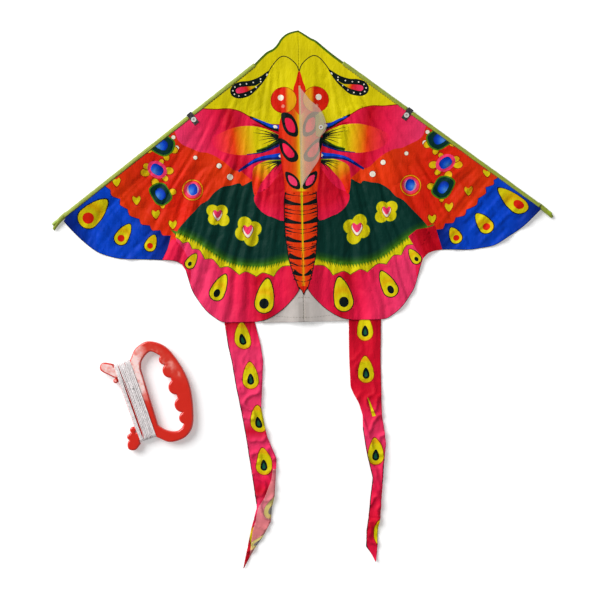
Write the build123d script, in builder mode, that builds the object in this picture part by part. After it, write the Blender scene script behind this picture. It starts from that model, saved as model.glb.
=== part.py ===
from build123d import *
import os
from math import atan2, cos, radians, sin

# A butterfly delta kite lying face up, with its winder beside it.
# Millimetres. +Z up, the nose towards +Y, the centre seam on x = 0, the ground at z = 0.
os.makedirs("parts", exist_ok=True)

# ---- driving dimensions ----
SPAN = 700.0                 # between the two tips of the leading-edge spars
NOSE_Y = 377.0               # the nose, and as far below it the tips of the tails
FOLD_X = 45.0                # the line on each side along which a wing folds up

CLOTH = 0.6                  # printed polyester with its hem and print
CLEAR_FILM = 0.4
RIBBON = 0.5
KEEL_FILM = 0.5
SAIL_LOW = 8.0               # underside of the sail, above the spars
SAIL_TOP = SAIL_LOW + CLOTH
FIT = 0.05                   # gap all round a rod in its cap, or a rivet in its hole

# leading edge: a straight line from the shoulder to the spar's tip
SHOULDER = (62.0, 334.5)
TIP = (SPAN / 2, 116.0)
EDGE_ANGLE = atan2(SHOULDER[1] - TIP[1], TIP[0] - SHOULDER[0])
SLEEVE_WIDE = 5.6
SLEEVE_WALL = 0.6
SPAR_D = 3.2
SPAR_INSET = SLEEVE_WIDE / 2
SPAR_Z = SAIL_LOW / 2
SPAR_START, SPAR_END = 4.0, 357.0
CAP_D = 5.2
CAP_START, CAP_END = 343.2, 364.0
CAP_ROUND = 2.2              # radius of the cap's blunt end
SLEEVE_START, SLEEVE_END = 2.0, 343.0
SHOULDER_CAP_D, SHOULDER_CAP_LONG = 4.2, 10.0
SAIL_END = 346.5
SEAM_INSET = 1.75            # the sail starts this far in from the leading edge

# the tab that takes the spreader
TAB_STATION = 117.0
TAB_WIDE = 8.0
TAB_THICK = 0.8
TAB_REACH = 17.5
TAB_CLEAR = 0.1              # gap between the strap and the leading edge
TAB_UNDER = 5.5              # how far the strap runs in again underneath
SLEEVE_GAP = 8.8
EYELET_INSET = 10.4
BARREL_OUT, BARREL_IN = 2.2, 1.6
BARREL_LOW = 0.9
EYELET_FLANGE_R = 3.6
EYELET_FLANGE_T = 0.5

# spine and spreader
SPINE_D = 3.0
SPINE_Z = 5.5
SPINE_LOW_Y, SPINE_HIGH_Y = -24.0, 366.0
SPINE_CAP_D = 4.0
SPINE_CAP_LONG = 14.0
SPINE_SLEEVE_HALF = 5.0
SPINE_SLEEVE_LOW = 3.4
SPREADER_D = 2.6
FITTING_D = 4.0
HOOK_R = 4.4
HOOK_SLOT_R = 2.55
HOOK_LOW, HOOK_HIGH = 1.2, 3.4
HOOK_BACK = 9.0              # from the middle of the eyelet to the end of the socket
HOOK_NECK_LAP = 3.0          # how far the flat neck runs back over the socket
HOOK_NECK_WIDE = 3.4
SOCKET_LONG = 12.0
SOCKET_FLOOR = 2.0

# tails
TAIL_TOP_Y = -24.0
TAIL_BEND_Y = -33.0
TAIL_SLOPE_Y = -78.0
TAIL_HIGH = 7.3

# keel
KEEL_Z = 9.5                 # height of its hinge line, the mid-plane of its film
KEEL_GAP = 0.8
KEEL_TOP_Y, KEEL_LOW_Y = 300.0, 157.0
PATCH = 0.3
TOW_EYELET = (29.0, 241.0)
TOW_BORE_R = 1.5
TOW_BARREL_R = 2.0
TOW_RIM_R = 3.2

# winder
WINDER_AT = (-227.5, -133.5)
WINDER_TURN = 18.1
WINDER_MID_Z = 7.5
HANDLE_T = 11.0
CORE_T = 9.0
CORE_LEFT, CORE_RIGHT = -24.6, 0.6
CORE_END = 54.0
LINE_PILE = 3.0              # depth of the line wound over the ends and faces of the core

TX, TY = cos(EDGE_ANGLE), -sin(EDGE_ANGLE)   # along the right leading edge, towards its tip


def at_edge(station, inset):
    """A point so far along the right leading edge, and so far in from it."""
    return (SHOULDER[0] + station * TX + inset * TY, SHOULDER[1] + station * TY - inset * TX)


def across_edge(station):
    """The plane that crosses the right leading edge there: x inwards, y up, z towards the shoulder."""
    x, y = at_edge(station, 0)
    return Plane(origin=(x, y, 0), x_dir=(TY, -TX, 0), z_dir=(-TX, -TY, 0))


def save(piece, label):
    piece.part.label = label
    export_step(piece.part, f"parts/{label}.step")


def save_pair(piece, label):
    """Writes a right-hand piece and its mirror image on the left."""
    with BuildPart() as other:
        add(mirror(piece.part, about=Plane.YZ, mode=Mode.PRIVATE))
    save(piece, "right_" + label)
    save(other, "left_" + label)


EYELET = at_edge(TAB_STATION, EYELET_INSET)
SAIL_SHOULDER = at_edge(0, SEAM_INSET)
SAIL_TIP = at_edge(SAIL_END, SEAM_INSET)

# outlines of the right half, from the centre seam outwards
SEAM_END = (0.0, 6.2)        # the sail runs down to a small point under the abdomen
BESIDE_SEAM_END = (3.0, 13.2)
ABDOMEN_END = (5.6, 15.4)
FOLD_LOW = (FOLD_X, -23.0)
FOLD_HIGH = (FOLD_X, 349.5)
NOSE = [(0.0, NOSE_Y), (12.0, 374.5), (21.0, 368.0), (28.0, 360.0), (35.0, 354.5), FOLD_HIGH]
INNER_HEM = [ABDOMEN_END, (12.0, 5.5), (25.0, -8.5), (34.0, -16.0), FOLD_LOW]
TAIL_SEAM_IN, TAIL_SEAM_OUT = (66.0, -29.5), (111.0, -29.5)
HIND_HEM = [TAIL_SEAM_OUT, (119.0, -27.0), (136.0, -14.0), (151.0, 6.0), (158.0, 20.5), (165.0, 47.0)]
NOTCH = [(165.0, 47.0), (169.0, 56.0), (178.0, 62.0), (198.0, 64.0)]
FORE_HEM = [(250.0, 65.0), (275.0, 67.5), (288.0, 74.0), (299.0, 84.0), (323.0, 109.0), SAIL_TIP]

# ---- the sail: two printed halves, each in two pieces that meet on the fold line ----
with BuildPart() as inner_sail:
    with BuildSketch(Plane.XY.offset(SAIL_LOW)):
        with BuildLine():
            Polyline(SEAM_END, BESIDE_SEAM_END, ABDOMEN_END)
            Spline(*INNER_HEM)
            Line(FOLD_LOW, FOLD_HIGH)
            Spline(*reversed(NOSE))
            Line(NOSE[0], SEAM_END)
        make_face()
    extrude(amount=CLOTH)
save_pair(inner_sail, "inner_sail")

with BuildPart() as wing_sail:
    with BuildSketch(Plane.XY.offset(SAIL_LOW)):
        with BuildLine():
            Spline(FOLD_LOW, (55.0, -27.3), TAIL_SEAM_IN)
            Line(TAIL_SEAM_IN, TAIL_SEAM_OUT)
            Spline(*HIND_HEM)
            Spline(*NOTCH)
            Line(NOTCH[-1], FORE_HEM[0])
            Spline(*FORE_HEM)
            Line(SAIL_TIP, SAIL_SHOULDER)
            Spline(SAIL_SHOULDER, (52.0, 343.5), FOLD_HIGH)
            Line(FOLD_HIGH, FOLD_LOW)
        make_face()
        with Locations(EYELET):
            Circle(BARREL_OUT + FIT, mode=Mode.SUBTRACT)
    extrude(amount=CLOTH)
save_pair(wing_sail, "wing_sail")

# ---- leading edges: spar, its caps, and the sleeve in two lengths with a gap at the tab ----
with BuildPart() as spar:
    with BuildSketch(across_edge(SPAR_START)):
        with Locations((SPAR_INSET, SPAR_Z)):
            Circle(SPAR_D / 2)
    extrude(amount=-(SPAR_END - SPAR_START))
save_pair(spar, "leading_edge_spar")

with BuildPart() as tip_cap:
    with BuildSketch(across_edge(CAP_START)):
        with Locations((SPAR_INSET, SPAR_Z)):
            Circle(CAP_D / 2)
    extrude(amount=-(CAP_END - CAP_START))
    fillet(tip_cap.edges().filter_by(GeomType.CIRCLE).sort_by(Axis.X)[-1], CAP_ROUND)
    with BuildSketch(across_edge(CAP_START)):
        with Locations((SPAR_INSET, SPAR_Z)):
            Circle(SPAR_D / 2)
    extrude(amount=-(SPAR_END - CAP_START), mode=Mode.SUBTRACT)
save_pair(tip_cap, "spar_tip_cap")

with BuildPart() as shoulder_cap:
    with BuildSketch(across_edge(SLEEVE_START)):
        with Locations((SPAR_INSET, SPAR_Z)):
            Circle(SHOULDER_CAP_D / 2)
    extrude(amount=-SHOULDER_CAP_LONG)
    with BuildSketch(across_edge(SPAR_START)):
        with Locations((SPAR_INSET, SPAR_Z)):
            Circle(SPAR_D / 2)
    extrude(amount=-SHOULDER_CAP_LONG, mode=Mode.SUBTRACT)
save_pair(shoulder_cap, "spar_shoulder_cap")


def sleeve_section():
    """The sleeve cut across: a soft tube, flat where the sail is sewn on."""
    with Locations((SLEEVE_WIDE / 2, SAIL_LOW / 2)):
        RectangleRounded(SLEEVE_WIDE, SAIL_LOW, SEAM_INSET)
        RectangleRounded(SLEEVE_WIDE - 2 * SLEEVE_WALL, SAIL_LOW - 2 * SLEEVE_WALL, SEAM_INSET - SLEEVE_WALL,
                         mode=Mode.SUBTRACT)


SLEEVES = {"upper_sleeve": (SLEEVE_START, TAB_STATION - SLEEVE_GAP / 2),
           "lower_sleeve": (TAB_STATION + SLEEVE_GAP / 2, SLEEVE_END)}
for label, (start, end) in SLEEVES.items():
    with BuildPart() as sleeve:
        with BuildSketch(across_edge(start)):
            sleeve_section()
        extrude(amount=-(end - start))
    save_pair(sleeve, label)

# ---- tabs: a black strap folded round the leading edge, with a long-barrelled eyelet ----
with BuildPart() as tab:
    with BuildSketch(across_edge(TAB_STATION - TAB_WIDE / 2)):
        with Locations((-TAB_CLEAR, SAIL_TOP)):
            Rectangle(TAB_REACH, TAB_THICK, align=(Align.MIN, Align.MIN))
        with Locations((-TAB_CLEAR - TAB_THICK, 0)):
            Rectangle(TAB_THICK, SAIL_TOP + TAB_THICK, align=(Align.MIN, Align.MIN))
            Rectangle(TAB_THICK + TAB_UNDER, TAB_THICK, align=(Align.MIN, Align.MIN))
    extrude(amount=-TAB_WIDE)
    with BuildSketch(Plane.XY.offset(SAIL_TOP)):
        with Locations(EYELET):
            Circle(BARREL_OUT + FIT)
    extrude(amount=TAB_THICK, mode=Mode.SUBTRACT)
save_pair(tab, "tab")

EYELET_TOP = SAIL_TOP + TAB_THICK + EYELET_FLANGE_T
with BuildPart() as eyelet:
    with BuildSketch(Plane.XY.offset(BARREL_LOW)):
        with Locations(EYELET):
            Circle(BARREL_OUT)
    extrude(amount=EYELET_TOP - BARREL_LOW)
    for low in (SAIL_LOW - EYELET_FLANGE_T, EYELET_TOP - EYELET_FLANGE_T):
        with BuildSketch(Plane.XY.offset(low)):
            with Locations(EYELET):
                Circle(EYELET_FLANGE_R)
        extrude(amount=EYELET_FLANGE_T)
    with BuildSketch(Plane.XY.offset(BARREL_LOW)):
        with Locations(EYELET):
            Circle(BARREL_IN)
    extrude(amount=EYELET_TOP - BARREL_LOW, mode=Mode.SUBTRACT)
save_pair(eyelet, "eyelet")

# ---- spine, its caps, its sleeve and the two pockets that hold its ends ----
with BuildPart() as spine:
    with BuildSketch(Plane.XZ.offset(-SPINE_LOW_Y)):
        with Locations((0, SPINE_Z)):
            Circle(SPINE_D / 2)
    extrude(amount=-(SPINE_HIGH_Y - SPINE_LOW_Y))
save(spine, "spine_rod")

CAP_WALL = 1.2
for label, tip, inwards in (("spine_nose_cap", SPINE_HIGH_Y, -1), ("spine_tail_cap", SPINE_LOW_Y, 1)):
    outer = tip - inwards * CAP_WALL
    with BuildPart() as spine_cap:
        with BuildSketch(Plane.XZ.offset(-outer)):
            with Locations((0, SPINE_Z)):
                Circle(SPINE_CAP_D / 2)
        extrude(amount=-inwards * SPINE_CAP_LONG)
        with BuildSketch(Plane.XZ.offset(-tip)):
            with Locations((0, SPINE_Z)):
                Circle(SPINE_D / 2)
        extrude(amount=-inwards * SPINE_CAP_LONG, mode=Mode.SUBTRACT)
    save(spine_cap, label)

SPINE_SLEEVE_Y = (21.0, 338.0)
SPINE_SLEEVE_WALL = 0.5
with BuildPart() as spine_sleeve:
    with BuildSketch(Plane.XZ.offset(-SPINE_SLEEVE_Y[0])):
        with Locations((0, (SPINE_SLEEVE_LOW + SAIL_LOW) / 2)):
            Rectangle(2 * SPINE_SLEEVE_HALF, SAIL_LOW - SPINE_SLEEVE_LOW)
            Rectangle(2 * (SPINE_SLEEVE_HALF - SPINE_SLEEVE_WALL),
                      SAIL_LOW - SPINE_SLEEVE_LOW - 2 * SPINE_SLEEVE_WALL, mode=Mode.SUBTRACT)
    extrude(amount=-(SPINE_SLEEVE_Y[1] - SPINE_SLEEVE_Y[0]))
save(spine_sleeve, "spine_sleeve")

POCKET_WALL = 1.0
PANEL_LOW = SAIL_LOW - CLEAR_FILM
POCKETS = {"nose_pocket": (340.0, 371.0, 9.0, SAIL_LOW, 1), "tail_pocket": (-31.0, -3.0, 8.0, PANEL_LOW, -1)}
for label, (low_y, high_y, half, top, closed) in POCKETS.items():
    with BuildPart() as pocket:
        with Locations((0, (low_y + high_y) / 2, 0)):
            Box(2 * half, high_y - low_y, top, align=(Align.CENTER, Align.CENTER, Align.MIN))
        with Locations((0, (low_y + high_y) / 2 - closed * POCKET_WALL, POCKET_WALL)):
            Box(2 * (half - POCKET_WALL), high_y - low_y, top, align=(Align.CENTER, Align.CENTER, Align.MIN),
                mode=Mode.SUBTRACT)
    save(pocket, label)

# ---- clear panel between the hind lobes, under their hems, in three pieces ----
PANEL_BOTTOM, PANEL_TOP_Y = -31.0, 20.0
PANEL_SIDE_X, PANEL_SIDE_Y = 61.0, -26.0
PANEL_HALF_TOP = [(6.0, PANEL_TOP_Y), (12.0, 11.0), (25.0, -2.0), (FOLD_X, -17.0)]
with BuildPart() as clear_panel:
    with BuildSketch(Plane.XY.offset(PANEL_LOW)):
        with BuildLine():
            Polyline((0, PANEL_BOTTOM), (FOLD_X, PANEL_BOTTOM), *reversed(PANEL_HALF_TOP), (0, PANEL_TOP_Y))
            mirror(about=Plane.YZ)
        make_face()
    extrude(amount=CLEAR_FILM)
save(clear_panel, "clear_panel")

with BuildPart() as panel_side:
    with BuildSketch(Plane.XY.offset(PANEL_LOW)):
        with BuildLine():
            Polyline((FOLD_X, PANEL_BOTTOM), (PANEL_SIDE_X, PANEL_BOTTOM), (PANEL_SIDE_X, PANEL_SIDE_Y),
                     PANEL_HALF_TOP[-1], close=True)
        make_face()
    extrude(amount=CLEAR_FILM)
save_pair(panel_side, "clear_panel_side")

# ---- keel: a film fin sewn into the centre seam, lying over to the right ----
KEEL = [(KEEL_GAP, KEEL_TOP_Y - 2), (14.0, 280.0), (30.0, 264.0), (36.5, 240.0), (26.5, 224.0), (26.0, 199.0),
        (14.0, 180.0), (KEEL_GAP, KEEL_LOW_Y + 1)]
with BuildPart() as keel:
    with BuildSketch(Plane.XY.offset(KEEL_Z - KEEL_FILM / 2)):
        with BuildLine():
            Polyline(*KEEL, close=True)
        make_face()
        with Locations(TOW_EYELET):
            Circle(TOW_BARREL_R + FIT, mode=Mode.SUBTRACT)
    extrude(amount=KEEL_FILM)
save(keel, "keel")

KEEL_PATCH = [(21.5, 258.0), (29.5, 262.5), (35.3, 240.2), (27.0, 227.0), (21.5, 229.0)]
with BuildPart() as keel_patch:
    with BuildSketch(Plane.XY.offset(KEEL_Z + KEEL_FILM / 2)):
        with BuildLine():
            Polyline(*KEEL_PATCH, close=True)
        make_face()
        with Locations(TOW_EYELET):
            Circle(TOW_BARREL_R + FIT, mode=Mode.SUBTRACT)
    extrude(amount=PATCH)
save(keel_patch, "keel_patch")

TOW_HIGH = KEEL_FILM / 2 + PATCH
TOW_RIM_T = 0.25
with BuildPart() as tow_eyelet:
    with BuildSketch(Plane.XY.offset(KEEL_Z - KEEL_FILM / 2 - TOW_RIM_T)):
        with Locations(TOW_EYELET):
            Circle(TOW_BARREL_R)
    extrude(amount=TOW_HIGH + KEEL_FILM / 2 + 2 * TOW_RIM_T)
    for low in (KEEL_Z - KEEL_FILM / 2 - TOW_RIM_T, KEEL_Z + TOW_HIGH):
        with BuildSketch(Plane.XY.offset(low)):
            with Locations(TOW_EYELET):
                Circle(TOW_RIM_R)
        extrude(amount=TOW_RIM_T)
    with BuildSketch(Plane.XY.offset(KEEL_Z - KEEL_FILM / 2 - TOW_RIM_T)):
        with Locations(TOW_EYELET):
            Circle(TOW_BORE_R)
    extrude(amount=TOW_HIGH + KEEL_FILM / 2 + 2 * TOW_RIM_T, mode=Mode.SUBTRACT)
save(tow_eyelet, "tow_eyelet")

SEAM_TAPE_HALF, SEAM_TAPE = 1.3, 0.25
with BuildPart() as seam_tape:
    with Locations((0, (KEEL_TOP_Y + KEEL_LOW_Y) / 2, SAIL_TOP)):
        Box(2 * SEAM_TAPE_HALF, KEEL_TOP_Y - KEEL_LOW_Y, SEAM_TAPE, align=(Align.CENTER, Align.CENTER, Align.MIN))
save(seam_tape, "keel_seam_tape")

# ---- spreader: a rod across the back, with a hook on each end that takes an eyelet's barrel ----
HOOK_ROOT = EYELET[0] - HOOK_BACK
with BuildPart() as spreader:
    with BuildSketch(Plane.YZ.offset(SOCKET_FLOOR - HOOK_ROOT)):
        with Locations((EYELET[1], FITTING_D / 2)):
            Circle(SPREADER_D / 2)
    extrude(amount=2 * (HOOK_ROOT - SOCKET_FLOOR))
save(spreader, "spreader_rod")

with BuildPart() as hook:
    with BuildSketch(Plane.YZ.offset(HOOK_ROOT - SOCKET_LONG)):
        with Locations((EYELET[1], FITTING_D / 2)):
            Circle(FITTING_D / 2)
    extrude(amount=SOCKET_LONG)
    with BuildSketch(Plane.XY.offset(HOOK_LOW)):
        with Locations(EYELET):
            Circle(HOOK_R)
        with Locations((HOOK_ROOT - HOOK_NECK_LAP, EYELET[1])):
            Rectangle(HOOK_BACK, HOOK_NECK_WIDE, align=(Align.MIN, Align.CENTER))
        with Locations(EYELET):
            Circle(HOOK_SLOT_R, mode=Mode.SUBTRACT)
            Rectangle(2 * HOOK_SLOT_R, 2 * HOOK_R, align=(Align.CENTER, Align.MIN), mode=Mode.SUBTRACT)
    extrude(amount=HOOK_HIGH - HOOK_LOW)
    with BuildSketch(Plane.YZ.offset(HOOK_ROOT - SOCKET_LONG)):
        with Locations((EYELET[1], FITTING_D / 2)):
            Circle(SPREADER_D / 2)
    extrude(amount=SOCKET_LONG - SOCKET_FLOOR, mode=Mode.SUBTRACT)
save_pair(hook, "spreader_hook")

# ---- tails: ribbons sewn under the hind hems, running down to the ground and along it ----
TAIL_EDGES = {
    "left_tail": ([(-111, TAIL_TOP_Y), (-104, -80), (-93, -150), (-81, -220), (-73, -288), (-84, -340)],
                  (-93, -NOSE_Y), [(-68, -337), (-50, -290), (-42, -222), (-60, -150), (-58, -80), (-67, TAIL_TOP_Y)]),
    "right_tail": ([(64, TAIL_TOP_Y), (62, -80), (70, -137), (80, -190), (86, -260), (80, -330)],
                   (93, -372), [(98, -325), (104, -260), (112, -192), (106, -137), (106, -80), (108, TAIL_TOP_Y)]),
}
for label, (first_edge, tip, last_edge) in TAIL_EDGES.items():
    with BuildPart() as tail:
        with BuildSketch():
            with BuildLine():
                Spline(*first_edge)
                Line(first_edge[-1], tip)
                Line(tip, last_edge[0])
                Spline(*last_edge)
                Line(last_edge[-1], first_edge[0])
            make_face()
        extrude(amount=SAIL_LOW)
        with BuildSketch(Plane.YZ.offset(-SPAN / 2)):
            with BuildLine():
                Polyline((0, TAIL_HIGH), (TAIL_BEND_Y, TAIL_HIGH), (TAIL_SLOPE_Y, 0), (-SPAN, 0), (-SPAN, RIBBON),
                         (TAIL_SLOPE_Y, RIBBON), (TAIL_BEND_Y, TAIL_HIGH + RIBBON), (0, TAIL_HIGH + RIBBON),
                         close=True)
            make_face()
        extrude(amount=SPAN, mode=Mode.INTERSECT)
    save(tail, label)


# ---- winder: a moulded D-shaped grip and a flat core, drawn upright about the middle of its bar ----
def winder_plane(z):
    turn = radians(WINDER_TURN)
    return Plane(origin=(*WINDER_AT, z), x_dir=(cos(turn), sin(turn), 0), z_dir=(0, 0, 1))


GRIP_OUTSIDE = [(0, 57), (14, 70.5), (35, 73), (56.6, 52.5), (67.7, 2.6), (57.2, -48.7), (41.2, -68.7),
                (16.5, -70.1), (0, -57)]
HOLE_TOP = [(10.5, 41), (16, 51.5), (30, 59), (40, 51), (45.5, 42)]
HOLE_BOTTOM = [(45.5, -46), (38, -55.5), (28, -58), (16, -52), (7.5, -42)]
FINGER_BUMPS = [(45.8, 42, 7.6), (48.6, 25.2, 10.8), (48.6, 0.3, 10.8), (48.6, -25.5, 10.8), (46.4, -44.5, 8.6)]
UPPER_HORN = [(-26.5, 39), (-32.5, 45), (-43, 56.5), (-41.5, 64), (-36, 66), (-28.5, 62.5), (CORE_LEFT, 58.4)]
LOWER_HORN = [(CORE_LEFT, -58.4), (-34, -64), (-42.5, -60), (-41, -51), (-33, -45), (-25.5, -41)]
HORN_LOBES = [(-35, -44.5, 4.4), (-28, -36.5, 4.4), (-30.5, -43.0, 4.8), (-28.2, 36.3, 3.4)]
with BuildPart() as winder:
    with BuildSketch(winder_plane(WINDER_MID_Z - HANDLE_T / 2)):
        with BuildLine():
            Spline(*GRIP_OUTSIDE)
            Line(GRIP_OUTSIDE[-1], GRIP_OUTSIDE[0])
        make_face()
        with BuildLine():
            Spline(*HOLE_TOP)
            Line(HOLE_TOP[-1], HOLE_BOTTOM[0])
            Spline(*HOLE_BOTTOM)
            Line(HOLE_BOTTOM[-1], HOLE_TOP[0])
        make_face(mode=Mode.SUBTRACT)
        for x, y, r in FINGER_BUMPS:
            with Locations((x, y)):
                Circle(r)
    extrude(amount=HANDLE_T)
    with BuildSketch(winder_plane(WINDER_MID_Z - CORE_T / 2)):
        with Locations(((CORE_LEFT + CORE_RIGHT) / 2, 0)):
            Rectangle(CORE_RIGHT - CORE_LEFT, 2 * CORE_END)
        with BuildLine():
            Spline(*UPPER_HORN)
            Polyline(UPPER_HORN[-1], (CORE_LEFT, UPPER_HORN[0][1]), UPPER_HORN[0])
        make_face()
        with BuildLine():
            Spline(*LOWER_HORN)
            Polyline(LOWER_HORN[-1], (CORE_LEFT, LOWER_HORN[-1][1]), LOWER_HORN[0])
        make_face()
        for x, y, r in HORN_LOBES:
            with Locations((x, y)):
                Circle(r)
    extrude(amount=CORE_T)
save(winder, "winder_handle")

# the whole line, wound end over end round the core
PILE_LEFT, PILE_RIGHT = CORE_LEFT + 0.4, -0.3
KNOT_AT, KNOT_R, KNOT_HIGH = (-9.0, 20.0), 1.1, 1.4
with BuildPart() as winding:
    with BuildSketch(winder_plane(0)):
        with Locations(((PILE_LEFT + PILE_RIGHT) / 2, 0)):
            Rectangle(PILE_RIGHT - PILE_LEFT, 2 * (CORE_END + LINE_PILE))
    extrude(amount=2 * WINDER_MID_Z)
    with BuildSketch(winder_plane(WINDER_MID_Z - CORE_T / 2)):
        with Locations(((PILE_LEFT + PILE_RIGHT) / 2, 0)):
            Rectangle(2 * (PILE_RIGHT - PILE_LEFT), 2 * CORE_END)
    extrude(amount=CORE_T, mode=Mode.SUBTRACT)
save(winding, "line_winding")

with BuildPart() as knot:
    with BuildSketch(winder_plane(2 * WINDER_MID_Z)):
        with Locations(KNOT_AT):
            Circle(KNOT_R)
    extrude(amount=KNOT_HIGH)
save(knot, "line_end_knot")
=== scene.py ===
"""A butterfly delta kite lying face up with its winder beside it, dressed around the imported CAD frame."""
import random
from math import atan2, cos, exp, hypot, pi, radians, sin, sqrt

import bpy
import numpy as np
from mathutils import Matrix, Vector, noise
from mathutils.geometry import delaunay_2d_cdt


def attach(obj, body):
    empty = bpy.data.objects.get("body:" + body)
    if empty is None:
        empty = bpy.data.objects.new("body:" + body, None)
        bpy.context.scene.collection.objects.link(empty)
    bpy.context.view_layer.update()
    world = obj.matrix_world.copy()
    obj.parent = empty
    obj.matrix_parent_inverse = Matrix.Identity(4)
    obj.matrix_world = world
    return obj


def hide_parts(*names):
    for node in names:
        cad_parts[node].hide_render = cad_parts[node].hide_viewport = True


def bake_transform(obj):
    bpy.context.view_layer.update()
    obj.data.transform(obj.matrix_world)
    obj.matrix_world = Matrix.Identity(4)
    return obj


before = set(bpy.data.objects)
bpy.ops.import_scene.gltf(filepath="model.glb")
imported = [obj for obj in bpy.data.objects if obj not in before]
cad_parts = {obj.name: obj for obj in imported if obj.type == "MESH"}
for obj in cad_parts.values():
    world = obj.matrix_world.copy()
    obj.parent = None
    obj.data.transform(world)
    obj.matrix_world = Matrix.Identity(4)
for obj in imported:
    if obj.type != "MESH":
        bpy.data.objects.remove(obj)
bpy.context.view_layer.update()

# ---------------------------------------------------------------- sizes, in millimetres as in the CAD model
MM = 0.001
SAIL_MID = 8.3                       # height of the middle of the sail where it is held up
CLOTH = 0.35                         # thickness of the sail
FILM = 0.2                           # thickness of the keel and of the clear panel
RIBBON = 0.3                         # thickness of the tails
SLEEVE_CLOTH = 0.4
SHOULDER = (62.0, 334.5)             # the upper end of the right spar
TIP = (350.0, 116.0)                 # its lower end
EDGE_ANGLE = atan2(SHOULDER[1] - TIP[1], TIP[0] - SHOULDER[0])
TX, TY = cos(EDGE_ANGLE), -sin(EDGE_ANGLE)
SLEEVE_WIDE = 5.6
SIDES = {"left": -1, "right": 1}
FOLD_FROM, FOLD_TO = 0.041, 0.049    # metres: the cloth bends between these distances from the centre seam


def at_edge(station, inset):
    """A point so far along the right leading edge, and so far in from it."""
    return (SHOULDER[0] + station * TX + inset * TY, SHOULDER[1] + station * TY - inset * TX)


def edge_inset(x, y):
    """How far a point lies in from the leading edge of its side."""
    return -((abs(x) - SHOULDER[0]) * -TY + (y - SHOULDER[1]) * TX)


# ---------------------------------------------------------------- camera, light and floor
LENS = 85                            # millimetres
PICTURE_WIDE = 0.840                 # metres across the picture, at the height of the sail
CAMERA_X = -0.0055
CAMERA_TURN = -1.2                   # degrees: the kite lies slightly askew in the picture
LIGHTS = {"key": ((-5.4, 4.6, 5.2), 7.5, 1240), "fill": ((1.4, -0.6, 1.8), 1.6,
                                                         5)}   # place, size and power
WORLD_STRENGTH = 0.24
FLOOR_SIZE = 40
FLOOR_DROP = -0.0002                 # the floor is this far under the object
FLOOR_GREY = 0.8
FLOOR_GLOW = 0.27
WHITE_LIGHT = (1, 1, 1, 1)


def linked(name, data):
    """A new object in the scene."""
    thing = bpy.data.objects.new(name, data)
    bpy.context.collection.objects.link(thing)
    return thing


def add_camera():
    data = bpy.data.cameras.new("camera")
    data.lens = LENS
    data.clip_end = 20
    camera = linked("camera", data)
    distance = PICTURE_WIDE * data.lens / data.sensor_width
    camera.location = (CAMERA_X, 0.0, distance + SAIL_MID * MM)
    camera.rotation_euler = (0, 0, radians(CAMERA_TURN))
    bpy.context.scene.camera = camera


def add_light(name, place, size, power):
    """A round area light that points at the middle of the scene."""
    data = bpy.data.lights.new(name, "AREA")
    data.energy = power
    data.shape = "DISK"
    data.size = size
    light = linked(name, data)
    light.location = place
    light.rotation_euler = (-Vector(place)).to_track_quat("-Z", "Y").to_euler()


def add_studio():
    bpy.context.scene.view_settings.view_transform = "Standard"
    world = bpy.data.worlds.new("studio")
    world.use_nodes = True
    world.node_tree.nodes["Background"].inputs["Color"].default_value = WHITE_LIGHT
    world.node_tree.nodes["Background"].inputs["Strength"].default_value = WORLD_STRENGTH
    bpy.context.scene.world = world
    for name, (place, size, power) in LIGHTS.items():
        add_light(name, place, size, power)
    bpy.ops.mesh.primitive_plane_add(size=FLOOR_SIZE, location=(0, 0, FLOOR_DROP))
    floor = bpy.context.object
    floor.name = "floor"
    material = bpy.data.materials.new("floor white")
    material.use_nodes = True
    shader = material.node_tree.nodes["Principled BSDF"]
    shader.inputs["Base Color"].default_value = (FLOOR_GREY, FLOOR_GREY, FLOOR_GREY, 1)
    shader.inputs["Roughness"].default_value = 0.8
    shader.inputs["Emission Color"].default_value = WHITE_LIGHT
    shader.inputs["Emission Strength"].default_value = FLOOR_GLOW
    floor.data.materials.append(material)


# ---------------------------------------------------------------- colours, given as on screen
def colour(red, green, blue):
    """A screen colour, 0 to 255, as linear light."""
    return tuple(((c / 255 + 0.055) / 1.055) ** 2.4 if c > 10 else c / 255 / 12.92 for c in (red, green,
                                                                                             blue))


YELLOW = colour(217, 201, 3)
LEMON = colour(214, 199, 6)
GOLD = colour(226, 160, 8)
PINK = colour(232, 26, 72)
CRIMSON = colour(186, 4, 26)
CHERRY = colour(208, 12, 42)
ORANGE = colour(222, 56, 6)
FLAME = colour(220, 92, 4)
RED = colour(214, 30, 8)
BLUE = colour(2, 66, 196)
DEEP_BLUE = colour(4, 26, 104)
SKY = colour(84, 140, 210)
GREEN = colour(4, 49, 41)
LEAF = colour(70, 118, 10)
DARK = colour(6, 20, 20)
WHITE = colour(236, 228, 210)
ROSE = colour(240, 54, 104)
RUST = colour(150, 30, 4)
AMBER = colour(222, 172, 0)
OLIVE = colour(96, 112, 12)
MOSS = colour(60, 84, 10)
PINE = colour(26, 74, 26)
FERN = colour(40, 96, 20)
SHADED_LEAF = colour(40, 74, 8)
EMERALD = colour(16, 84, 60)
AZURE = colour(40, 104, 206)
MAUVE = colour(190, 150, 170)
BLUSH = colour(222, 130, 110)


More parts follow.
